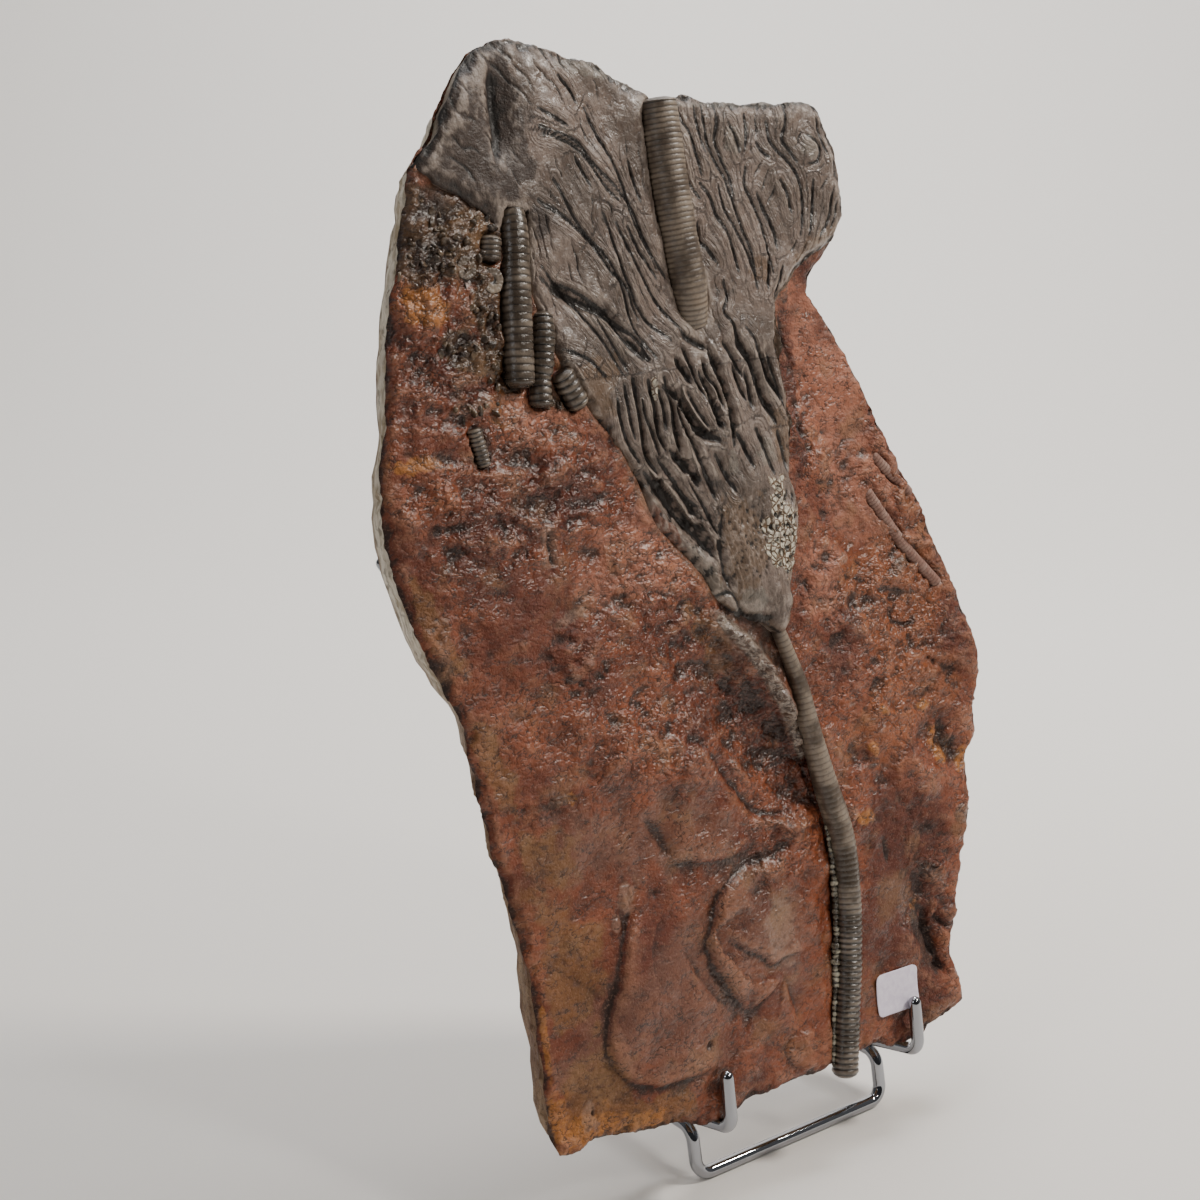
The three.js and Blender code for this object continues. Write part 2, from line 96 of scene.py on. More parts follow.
# %% [markdown]
# The camera stands to the left, a little above the crown, with a 60 mm lens. Its place is given in the
# stand's frame too, in millimetres.

# %% Camera
CAMERA_AT = (-478.35, -497.17, 404.26)
HEADING = 37.674
LOOK_DOWN = 15.403
ROLL = 0.231

lens = bpy.data.cameras.new("camera")
lens.lens = 60
lens.sensor_width = 36
lens.clip_start = 0.05
camera = bpy.data.objects.new("camera", lens)
camera.matrix_world = (Matrix.Translation(stand_frame @ Vector(CAMERA_AT))
                       @ Matrix.Rotation(math.radians(-HEADING), 4, "Z")
                       @ Matrix.Rotation(math.radians(90 - LOOK_DOWN), 4, "X")
                       @ Matrix.Rotation(math.radians(ROLL), 4, "Z"))
bpy.context.scene.collection.objects.link(camera)
bpy.context.scene.camera = camera
print("camera at", [round(x, 3) for x in camera.matrix_world.translation])

# %% [markdown]
# ## Tools for drawing stone
#
# Rock is rough at every size, so most of its height is layered noise. Blender's own noise, called once for
# every point, is slow for 70,000 points and many layers. The noise here is worked out on whole arrays at
# once, from whole numbers and a seed, so it is the same in every run.

# %% Noise
CELL_STRIDES = (374761393, 668265263, 974634777)  # large odd numbers, for the column, the row and the seed
CELL_MIXER = 1274126177
WORD = 2 ** 32
NOISE_GAIN = 1.6  # brings the sum of slopes to about -1 to 1


def lattice(ix, iy, seed):
    """A repeatable number from 0 to 1 for each whole-number cell."""
    along_x, along_y, along_seed = CELL_STRIDES
    mixed = (ix * along_x + iy * along_y + seed * along_seed) & (WORD - 1)
    mixed = ((mixed ^ (mixed >> 13)) * CELL_MIXER) & (WORD - 1)
    return (mixed ^ (mixed >> 16)) / WORD


def cell_of(u, v, size):
    x, y = u / size, v / size
    return x, y, np.floor(x).astype(np.int64), np.floor(y).astype(np.int64)


def noise(u, v, size, seed):
    """Smooth noise, about -1 to 1, with lumps of the given size."""
    x, y, ix, iy = cell_of(u, v, size)
    fx, fy = x - ix, y - iy
    ease_x, ease_y = (t * t * t * (t * (6 * t - 15) + 10) for t in (fx, fy))
    total = 0
    for dx in (0, 1):
        for dy in (0, 1):
            angle = 2 * math.pi * lattice(ix + dx, iy + dy, seed)
            slope = np.cos(angle) * (fx - dx) + np.sin(angle) * (fy - dy)
            weight = (ease_x if dx else 1 - ease_x) * (ease_y if dy else 1 - ease_y)
            total = total + slope * weight
    return NOISE_GAIN * total


def layers(u, v, size, count, seed, keep=0.5):
    """Noise on noise: each layer has half the size of the last and keeps a share of its height."""
    return sum(keep ** k * noise(u, v, size / 2 ** k, seed + 31 * k) for k in range(count))


def crags(u, v, size, count, seed):
    """Noise folded over at zero, which gives sharp crests as broken rock has, 0 to about 1."""
    return sum(0.5 ** (k + 1) * (1 - 2 * abs(noise(u, v, size / 2 ** k, seed + 17 * k)))
               for k in range(count))


print("noise at one point:", layers(np.array([3.0]), np.array([4.0]), 9, 4, seed=7).round(4))

# %% [markdown]
# Beads and knobs lie side by side in cells, and a mask needs a soft edge.

# %% Cells and soft edges
def cells(u, v, size, seed):
    """Distance to the nearest of scattered points, as a share of the size, and that point's number."""
    x, y, ix, iy = cell_of(u, v, size)
    nearest, number = np.full(x.shape, np.inf), np.zeros(x.shape)
    for dx in (-1, 0, 1):
        for dy in (-1, 0, 1):
            cx, cy = ix + dx, iy + dy
            apart = np.hypot(cx + lattice(cx, cy, seed) - x, cy + lattice(cx, cy, seed + 1) - y)
            closer = apart < nearest
            nearest = np.where(closer, apart, nearest)
            number = np.where(closer, lattice(cx, cy, seed + 2), number)
    return nearest, number


def step(start, end, x):
    """Rises smoothly from 0 at start to 1 at end."""
    t = np.clip((x - start) / (end - start), 0, 1)
    return t * t * (3 - 2 * t)


def bell(x, reach=1):
    """1 where x is 0, and nearly 0 from about twice the reach on."""
    return np.exp(-(x / reach) ** 2)


print("half way up a step:", step(0, 1, 0.5), "on a bell's side:", bell(1).round(3))

# %% [markdown]
# Outlines and marks are smooth curves through a few points, which bend evenly without overshooting
# (centripetal Catmull-Rom curves). A patch of stone is the grid that four such edge curves span.

# %% Smooth curves and patches
CURVE_STEPS = 24  # points on each stretch between two given ones, before they are spaced evenly


def smooth_line(points, spacing=None, count=None):
    """Evenly spaced points along the smooth curve through the given ones."""
    p = np.asarray(points, float)
    p = np.vstack([2 * p[0] - p[1], p, 2 * p[-1] - p[-2]])
    gap = np.sqrt(np.linalg.norm(np.diff(p, axis=0), axis=1))
    t = np.linspace(0, 1, CURVE_STEPS, endpoint=False)[:, None]
    pieces = []
    for i in range(1, len(p) - 2):
        a, b, c = gap[i - 1], gap[i], gap[i + 1]
        leave = ((p[i] - p[i - 1]) / a - (p[i + 1] - p[i - 1]) / (a + b) + (p[i + 1] - p[i]) / b) * b
        arrive = ((p[i + 1] - p[i]) / b - (p[i + 2] - p[i]) / (b + c) + (p[i + 2] - p[i + 1]) / c) * b
        change = p[i + 1] - p[i]
        pieces.append(p[i] + t * leave + t ** 2 * (3 * change - 2 * leave - arrive)
                      + t ** 3 * (leave + arrive - 2 * change))
    fine = np.vstack(pieces + [p[-2:-1]])
    length = np.concatenate([[0], np.cumsum(np.linalg.norm(np.diff(fine, axis=0), axis=1))])
    count = count or max(1, round(length[-1] / spacing))
    even = np.linspace(0, length[-1], count + 1)
    return np.stack([np.interp(even, length, axis) for axis in fine.T], axis=1)


def patch(outline, columns, rows):
    """The grid of points (rows + 1, columns + 1, 2) that fills the patch between four edge curves."""
    low, high = (smooth_line(outline[side], count=columns) for side in ("bottom", "top"))
    west, east = (smooth_line(outline[side], count=rows) for side in ("left", "right"))
    across = np.linspace(0, 1, columns + 1)[None, :, None]
    up = np.linspace(0, 1, rows + 1)[:, None, None]
    corners = ((low[0] * (1 - across) + low[-1] * across) * (1 - up)
               + (high[0] * (1 - across) + high[-1] * across) * up)
    return low * (1 - up) + high * up + west[:, None] * (1 - across) + east[:, None] * across - corners


print("a smooth line:", len(smooth_line([(0, 0), (5, 8), (12, 9)], spacing=1)), "points")

# %% [markdown]
# A broad shape, such as a lobe or a hollow, is a smooth swelling in an oval. The same ovals, with a ragged
# rim, serve as masks for colour.

# %% Swellings
def turned(u, v, at, size, turn):
    """Distance from an oval's middle as a share of its half sizes, squared."""
    du, dv = u - at[0], v - at[1]
    c, s = math.cos(math.radians(turn)), math.sin(math.radians(turn))
    return ((du * c + dv * s) / size[0]) ** 2 + ((dv * c - du * s) / size[1]) ** 2


def oval(u, v, at, size, turn, edge):
    """1 inside the oval and 0 outside it. A higher edge makes its rim steeper."""
    return 1 / (1 + turned(u, v, at, size, turn) ** edge)


def form_height(forms, u, v):
    """Smooth swellings of the given rise. The edge is 2 unless a form has its own."""
    return sum(rise * oval(u, v, at, size, turn, edge[0] if edge else 2)
               for at, size, turn, rise, *edge in forms)


def roll_height(rolls, u, v):
    """A slow uneven roll: amplitude, wavelength along u, wavelength along v, phase."""
    return sum(rise * np.sin(2 * math.pi * u / along_u + phase) * np.cos(2 * math.pi * v / along_v - phase)
               for rise, along_u, along_v, phase in rolls)


def covered(areas, u, v, edge=3):
    """1 inside the ovals of a list and 0 outside them."""
    return np.max([oval(u, v, *area, edge) for area in areas], axis=0)


def spot(u, v, at, size, turn, ragged, seed, soft=0.25):
    """1 inside the oval and 0 outside it, with a ragged rim."""
    reach = np.sqrt(turned(u, v, at, size, turn)) + ragged * layers(u, v, min(size) * 0.9, 3, seed)
    return step(1 + soft, 1 - soft, reach)


def spots(areas, u, v, seed, soft, ragged=0.42):
    return np.max([spot(u, v, *area, ragged, seed, soft) for area in areas], axis=0)


print("an oval at its rim:", oval(5, 0, (0, 0), (5, 5), turn=0, edge=2))

# %% [markdown]
# A mark, such as a furrow, a crack or a ledge, follows a line, and each point of the stone has to find its
# nearest mark. Measuring to all of them takes minutes, so a kd-tree holds the points of each kind of mark.

# %% Marks
class Nearest:
    def __init__(self, points):
        self.tree = kdtree.KDTree(len(points))
        for i, (u, v) in enumerate(points):
            self.tree.insert((u, v, 0), i)
        self.tree.balance()

    def index(self, u, v):
        found = [self.tree.find((x, y, 0))[1] for x, y in zip(u.ravel(), v.ravel())]
        return np.array(found).reshape(u.shape)


class Marks:
    """Lines of (width, rise, u and v of each point in turn), thinner and lower at both ends."""

    SPACING = 0.5  # millimetres between the points of a line
    BETWEEN = 37  # added to the run for each new line, so that no two lines share a pattern

    def __init__(self, lines):
        rows = []
        for number, (width, rise, points) in enumerate(lines):
            line = smooth_line(np.reshape(points, (-1, 2)), spacing=self.SPACING)
            along = np.linspace(0, 1, len(line))
            taper = np.minimum(1, 0.15 + 5 * np.minimum(along, 1 - along))
            run = np.arange(len(line)) * self.SPACING + self.BETWEEN * number
            rows.append(np.column_stack([line, np.gradient(line, axis=0), width * (0.4 + 0.6 * taper),
                                         rise * taper, run]))
        self.rows = np.vstack(rows)
        self.nearest = Nearest(self.rows[:, :2])

    def near(self, u, v):
        """The nearest mark: distance (positive on the left of its line), width, rise, place along it."""
        x, y, du, dv, width, rise, run = self.rows[self.nearest.index(u, v)].transpose(2, 0, 1)
        side = np.where(du * (v - y) - dv * (u - x) < 0, -1, 1)
        return side * np.hypot(u - x, v - y), width, rise, run


print("points on a mark 10 mm long:", len(Marks([(1, 1, [(0, 0), (10, 0)])]).rows))

# %% [markdown]
# Seen from the camera, a mark that lies deeper or higher slides sideways over the face. All marks below
# are noted as they look from there, so each height is worked out at the place where its point appears.

# %% How height shifts what is seen
SEEN_SHIFT = (0.737, -0.144)  # change of apparent u and v for each millimetre of height


def as_seen(u, v, w):
    return u + SEEN_SHIFT[0] * w, v + SEEN_SHIFT[1] * w


print("a point 5 mm deep seems to lie at", as_seen(0, 0, -5))

# %% [markdown]
# Every relief piece is one closed mesh: a fine grid for the front, a wall down from its rim, and a back.
# Displacing a subdivided plane would leave it open, so the points and faces are written out here. The wall
# is coarser towards the back, where two short edges of the rim join one long edge.

# %% Rims
def rim_of(columns, rows):
    """Grid places along the rim, anticlockwise from the lower left corner."""
    places = [(0, i) for i in range(columns)] + [(j, columns) for j in range(rows)]
    places += [(rows, i) for i in range(columns, 0, -1)] + [(j, 0) for j in range(rows, 0, -1)]
    return tuple(np.array(places).T)


def outwards(ring):
    """Unit directions in the face that point out of a closed ring of points."""
    along = np.roll(ring, -3, axis=0) - np.roll(ring, 3, axis=0)
    normal = np.stack([along[:, 1], -along[:, 0]], axis=1)
    return normal / np.linalg.norm(normal, axis=1)[:, None]


def add_object(name, mesh):
    made = bpy.data.objects.new(name, mesh)
    bpy.context.scene.collection.objects.link(made)
    return made


print("rim of a 4 by 4 grid:", len(rim_of(4, 4)[0]), "points")

# %% [markdown]
# A body collects points, faces and masks. The masks become attributes of the mesh, which a material reads.

# %% Closed bodies
class Body:
    def __init__(self):
        self.points, self.faces, self.masks, self.count = [], [], {}, 0

    def add(self, points, **masks):
        """Adds points, with masks for them alone, and gives back their numbers."""
        points = np.asarray(points, float).reshape(-1, 3)
        self.points.append(points)
        for name, values in masks.items():
            old = self.masks.get(name, np.zeros(0))
            self.masks[name] = np.concatenate([old, np.zeros(self.count - len(old)), values])
        self.count += len(points)
        return np.arange(self.count - len(points), self.count)

    def grid(self, index, flip=False):
        a, b, c, d = index[:-1, :-1], index[:-1, 1:], index[1:, 1:], index[1:, :-1]
        order = (a, d, c, b) if flip else (a, b, c, d)
        self.faces += np.stack(order, axis=-1).reshape(-1, 4).tolist()

    def band(self, upper, lower):
        """Joins two closed rings. The lower one may have as many points or half as many."""
        count = len(lower)
        if len(upper) == count:
            next_upper, next_lower = np.roll(upper, -1), np.roll(lower, -1)
            self.faces += np.stack([upper, lower, next_lower, next_upper], axis=1).tolist()
            return
        for i in range(count):
            a, b, c = upper[2 * i], upper[2 * i + 1], upper[(2 * i + 2) % len(upper)]
            d, e = lower[i], lower[(i + 1) % count]
            self.faces += [[a, d, b], [b, d, e], [b, e, c]]

    def make(self, name):
        mesh = bpy.data.meshes.new(name)
        mesh.from_pydata(placed(np.vstack(self.points)).tolist(), [], self.faces)
        mesh.shade_smooth()
        for mask, values in self.masks.items():
            layer = mesh.attributes.new(mask, "FLOAT", "POINT")
            filled = np.zeros(self.count)
            filled[:len(values)] = values
            layer.data.foreach_set("value", filled.astype(np.float32))
        return add_object(name, mesh)


print("an empty body:", Body().count, "points")

# %% [markdown]
# ## The slab of red stone
#
# The slab is a flat piece of mudstone with broken edges. Its outline and its broad forms are the same as
# those of its solid, so that the fine surface and the solid agree.

# %% Outline and broad forms of the slab
SLAB_OUTLINE = {
    "bottom": [(-119, 9), (-112, 7.5), (-104, 9), (-92, 8.5), (-84, 6), (-72, 4.5), (-64, 2.5), (-56, -0.3),
        (-41, -0.3), (-34, 2), (-20, 2.5), (0, 2.5), (20, 4), (34, 2.5), (41, -0.2), (55, -0.2), (61, 3),
        (68, 5), (80, 7.5)],
    "top": [(-110, 371), (-104, 376), (-95, 380), (-82, 379.5), (-66, 375), (-55, 373), (-48, 368.5),
        (-36, 363.5), (-27, 360.5), (-17, 362), (-8, 360), (10, 359), (28, 358.5), (42, 357.5)],
    "left": [(-119, 9), (-121, 20), (-122.5, 45), (-123, 68), (-128, 100), (-133, 121), (-136, 145),
        (-138.5, 163), (-145, 178), (-151, 194), (-155, 210), (-157.5, 228), (-156, 245), (-152, 262),
        (-149, 280), (-145, 300), (-140, 313), (-136, 328), (-132, 341), (-122, 352), (-117, 361),
        (-110, 371)],
    "right": [(80, 7.5), (79, 15), (76, 26), (81, 44), (86, 64), (93, 81), (96, 104), (101, 110), (102, 120),
        (106, 136), (105, 150), (97, 172), (92, 182), (84, 204), (72, 227), (62, 254), (48, 280), (40, 292),
        (45, 301), (54, 312), (54, 320), (50, 343), (42, 357.5)],
}
SLAB_FORMS = [
    ((-68, 48), (26, 32), 8, 2.8, 2.5),  # smooth lobe at the lower left
    ((-31, 62), (12, 28), 22, 3.0, 2.2),  # tongue beside it
    ((-5, 60), (15, 26), 0, 2),
    ((-4, 14), (12, 9), -30, 1.6),  # small lump over the bottom edge
    ((-10, 132), (13, 34), 38, -5.5),  # dark hollow left of the stem
    ((-12, 158), (5, 24), 38, 3),  # crust along the stem's left side
    ((-60, 138), (34, 12), -12, 2.5),  # rough band across the middle
    ((-110, 196), (34, 60), 0, 2),
    ((-100, 238), (48, 5), 4, 0.9),  # low curved ledges
    ((-98, 228), (48, 4), 3, -0.9),
    ((-128, 298), (14, 12), 30, 2),  # ochre knob
    ((-112, 16), (22, 12), -10, -3),  # low corner at the bottom left
    ((42, 262), (26, 52), 12, -6.5),  # sunken field right of the crown
    ((60, 180), (34, 40), 20, -2.5),
    ((63, 40), (7, 22), 15, -4),  # dark cleft at the lower right
    ((80, 114), (10, 13), 35, -3),  # pit
    ((52, 158), (22, 6), -35, 1.5),
    ((88, 132), (16, 6), -20, -2),
    ((58, 104), (16, 10), -10, 1.5),
    ((-48, 9), (9, 13), 0, -1.6),  # flats where the hooks bear
    ((48, 9), (9, 13), 0, -1),
]
SLAB_ROLL = [(0.7, 61, 97, 0.4), (0.5, 37, 43, 2.1), (0.35, 23, 29, 4.4)]
BACK_ROLL = [(1.6, 140, 170, 1.2), (1.1, 67, 83, 3.3), (0.7, 39, 47, 5.1)]


def slab_broad(u, v):
    return form_height(SLAB_FORMS, u, v) + roll_height(SLAB_ROLL, u, v)


print("slab outline points:", sum(len(side) for side in SLAB_OUTLINE.values()))

# %% [markdown]
# The stems lie half sunk in the stone. Their middle lines are needed here too, because the stone has a
# shallow bed under each of them. A point is u, v and w, and may carry a radius of its own.

# %% Middle lines of the stem and the loose columns
MAIN_STEM = {
    "path": [(-2, 176, 0.5), (1.2, 169, 0.3), (5, 159, 0), (8.8, 147, 0), (11, 133, 0.3), (13.4, 120, 0.6),
             (16, 108, 0.8), (18.8, 97, 1), (20.5, 86, 1.2), (20.8, 74, 1.4), (20, 62, 1.6), (18.6, 50, 1.8),
             (16.2, 36, 2), (13.6, 22, 2), (11.2, 8, 2), (9.6, -2, 2)],
    "radii": [2.5, 2.6, 2.9, 3.4, 4.0, 4.4, 4.8, 5.1, 5.3, 5.3, 5.3, 5.3, 5.3, 5.2, 5.2, 5.1],
}
COLUMNS = {
    "upper_column": ([(-30, 361, 1, 6.9), (-29, 340, 1, 6.9), (-27, 315, 1, 6.8), (-24.5, 296, 0.6, 6.6),
                      (-22, 282, -3.2, 6.0)], 6.9),
    "left_column": ([(-93, 332, -4.5, 3.2), (-94.5, 322, -1.2, 4.6), (-97, 305, 0, 5.3),
                     (-99, 288, 0.6, 5.3), (-101, 268, 1, 5.2)], 5.3),
    "short_column_1": ([(-87.5, 292, -0.8, 3.7), (-89, 284, 0.5, 4.1), (-91, 274, 0.8, 3.9),
                        (-92, 270, 0.5, 3.6), (-92.6, 267, 0.8, 3.9), (-93.5, 260.5, 1, 4.1)], 4.1),
    "short_column_2": ([(-84, 272, 1), (-77.5, 259, 1)], 4.2),
    "short_column_3": ([(-105, 318, 0.5), (-106.5, 309.5, 0.5)], 3.6),
    "small_fragment": ([(-120.5, 257, 0.3), (-118, 244, 0.3)], 2.6),
    "thin_column_1": ([(57, 214, -5.5), (73, 191, -4.5), (89, 173, -3.4)], 2.4),
    "thin_column_2": ([(62.5, 227, -5.9), (79, 210, -3.9)], 2.2),
}
COLUMNAL_RINGS = {"columnal_ring_1": ((-117, 308), 3.9), "columnal_ring_2": ((-107.5, 303.5), 4.4)}


def own_radii(path, radius):
    return [point[3] if len(point) > 3 else radius for point in path]


print("columns beside the main stem:", len(COLUMNS))

# %% [markdown]
# The stone passes under each column, with a crevice at its foot. Cutting the columns out of the slab would
# leave knife edges, so its height is lowered instead wherever a column lies above it.

# %% Beds under the columns
BED_SPACING = 0.5
END_GAP, SUNK_END_GAP = 1.0, 1.6  # radii from a column's end to its bed's end; more where the end dips in
SUNK_END = -0.6
CREVICE_PLACE, CREVICE_WIDTH = 0.5, 0.9
FULL_CREVICE_RADIUS = 4.5  # thinner columns have shallower crevices


def bed_points():
    """u, v, w and radius every half millimetre along all the columns."""
    rows = []
    everything = [(MAIN_STEM["path"], MAIN_STEM["radii"])]
    everything += [([point[:3] for point in path], own_radii(path, radius))
                   for path, radius in COLUMNS.values()]
    for path, radii in everything:
        line = smooth_line([(*point, radius) for point, radius in zip(path, radii)], spacing=BED_SPACING)
        gaps = np.where(line[[0, -1], 2] > SUNK_END, END_GAP, SUNK_END_GAP) * line[[0, -1], 3]
        first, last = (round(gap / BED_SPACING) for gap in gaps)
        rows.append(line[first:len(line) - last])
    return np.vstack(rows)


class Beds:
    def __init__(self):
        self.rows = bed_points()
        self.nearest = Nearest(self.rows[:, :2])

    def sink(self, u, v, w, crevice):
        """The height w, lowered so that the surface never rises into a column."""
        x, y, height, radius = self.rows[self.nearest.index(u, v)].transpose(2, 0, 1)
        apart = np.hypot(u - x, v - y) - radius
        shows = step(-0.1, 0.35, (height + radius - w) / radius)
        w = w - shows * np.where(apart < 0.4, np.maximum(w - height + 0.35 * radius, 0), 0)
        depth = crevice * np.minimum(1, radius / FULL_CREVICE_RADIUS) ** 2
        return w - shows * depth * bell(apart - CREVICE_PLACE, CREVICE_WIDTH)


beds = Beds()
print("bed points:", len(beds.rows))

# %% [markdown]
# The marks of the stone's face. Ledges drop on the right-hand side of their line; the lobe and the tongue at
# the lower left are such ledges. Grooves and cracks cut in. The numbers are a width, a rise or a depth, and
# then u and v of the line's points in turn.

# %% Ledges, grooves and cracks of the slab
LEDGES = [
    (2.0, 2.9, [-82, 100, -80, 92, -81, 84, -84, 75, -88, 62, -94, 50, -95.5, 38, -90, 28, -83, 23, -70, 20,
        -55, 19, -43, 18]),
    (1.8, 3.8, [-22, 88, -30, 87, -37, 83, -42, 77, -44, 71, -47.5, 65, -45.5, 57, -40.5, 47, -36, 39,
        -31, 34]),
    (2.4, 1.5, [-38, 36, -46, 44, -54, 56, -60, 68]),
    (1.2, 2.4, [-42, 68, -36, 63, -31, 59, -26, 56, -22, 53, -19, 50, -8, 51, 0, 50]),
    (1.4, 2.4, [-31, 34, -26, 37, -20, 39, -15, 43]), (1.2, 1.8, [-9, 24, -10, 32, -12, 39, -15, 45]),
    (1.2, 2.4, [-17, 17, -15, 12, -11, 8, -6, 5, 0, 5]), (1.0, 1.0, [0, 20, -6, 21, -12, 19, -17, 17]),
    (5.0, 2.4, [-64, 97, -48, 95, -36, 93, -25, 95, -14, 98]),
    (3.0, 1.6, [-6, 88, -16, 89, -28, 88, -38, 83]),
    (5.5, 3.0, [10, 102, 0, 104, -10, 103, -20, 107, -28, 117, -34, 127, -42, 137, -54, 142]),
    (4.5, 0.5, [-148, 243, -135, 240, -120, 238, -104, 237, -90, 236, -74, 237]),
    (4.0, 0.55, [-156, 226, -145, 223, -130, 219, -116, 216, -106, 216]),
    (3.5, 0.35, [-142, 250, -128, 248, -116, 245, -104, 246]),
    (2.5, 1.1, [-62, 193, -72, 191, -80, 189, -88, 192]),
    (2.0, 1.0, [-70, 158, -62, 161, -54, 159, -46, 161]),
    (2.0, 1.2, [-140, 134, -128, 131, -114, 130, -100, 131, -90, 128]),
    (1.4, 1.4, [61, 172, 66, 160, 72, 151, 80, 145, 90, 140, 101, 134]),
    (1.2, 1.3, [38, 212, 45, 207, 50, 202, 56, 199, 64, 196]), (1.2, 1.0, [32, 205, 36, 203, 41, 204]),
    (1.6, 1.2, [46, 90, 56, 84, 66, 81, 74, 80, 84, 78]), (1.2, 1.2, [67, 74, 74, 71, 80, 70, 88, 71]),
    (1.2, 1.0, [26, 86, 30, 84, 36, 83, 40, 80]), (1.2, 1.0, [-113, 72, -107, 69, -101, 64, -96, 60]),
]
GROOVES = [
    (0.9, 1.4, [62, 168, 60, 165, 63, 162, 68, 161, 72, 161]), (0.8, 1.2, [5, 185, 4.5, 179, 6, 173]),
    (0.8, 1.0, [18, 187, 17, 182, 19, 178]), (1.6, 1.6, [-30, 136, -25, 129, -20, 122, -18, 117]),
    (2.4, 1.2, [-70, 117, -64, 108, -60, 99]), (2.2, 3.0, [61, 48, 62, 41, 65, 33, 67, 25, 70, 20]),
    (1.8, 2.4, [66, 46, 72, 41, 76, 36]), (1.0, 1.2, [43, 82, 44, 77, 44, 72]),
    (0.9, 1.3, [-95, 221, -96, 214, -94, 207]), (0.9, 1.0, [-104, 215, -106, 211]),
    (1.0, 1.2, [-97, 169, -92, 168, -88, 166]), (1.2, 1.4, [28, 231, 24, 238, 21, 246]),
    (1.0, 1.0, [22, 264, 19, 274, 17, 286]), (0.9, 0.9, [58, 222, 64, 219, 70, 214]),
    (0.8, 0.9, [35, 186, 41, 183, 48, 181, 52, 177]), (0.8, 0.9, [40, 150, 46, 147, 49, 143]),
    (1.4, 1.8, [-52, 30, -51, 27]), (1.3, 1.6, [-106, 20, -104, 19]),
]
RIDGES = [
    (3.0, 2.6, [-27, 180, -20, 173, -13, 166, -7, 157, -2, 148, 2, 139, 5, 129, 7, 120]),
    (0.7, 0.7, [27, 96, 28, 84, 28, 70, 26.5, 55, 24, 40, 21.5, 25]),
]
ledges = Marks(LEDGES)
ridges = Marks(RIDGES)
grooves = Marks(GROOVES)
print("ledge points:", len(ledges.rows), "groove points:", len(grooves.rows))

# %% [markdown]
# Where the stone is smooth or rough, and what small bodies stand up from it or are missing: pits, broken
# shell, iron-stained knobs. Each is an oval, because that takes only a middle, two half sizes and a turn.

# %% Smooth areas and small bodies
SMOOTH_AREAS = [
    ((-68, 50), (24, 27), 8), ((-30, 62), (14, 26), 22), ((-8, 62), (13, 14), 0), ((-100, 100), (30, 24), 0),
    ((-60, 112), (30, 12), -10), ((-100, 60), (22, 26), 0), ((-5, 32), (14, 16), 0),
    ((40, 262), (16, 36), 18), ((46, 200), (12, 16), 0), ((40, 60), (14, 22), 0), ((42, 24), (18, 16), 0),
]
ROUGH_AREAS = [
    ((-14, 134), (16, 36), 38), ((-58, 140), (36, 15), -12), ((-50, 188), (20, 28), 30),
    ((-104, 234), (42, 22), 4), ((60, 175), (42, 50), 20), ((62, 45), (14, 42), 0), ((-88, 174), (14, 12), 0),
    ((-10, 92), (22, 14), 0), ((40, 240), (24, 60), 18), ((-125, 285), (24, 30), 0),
]
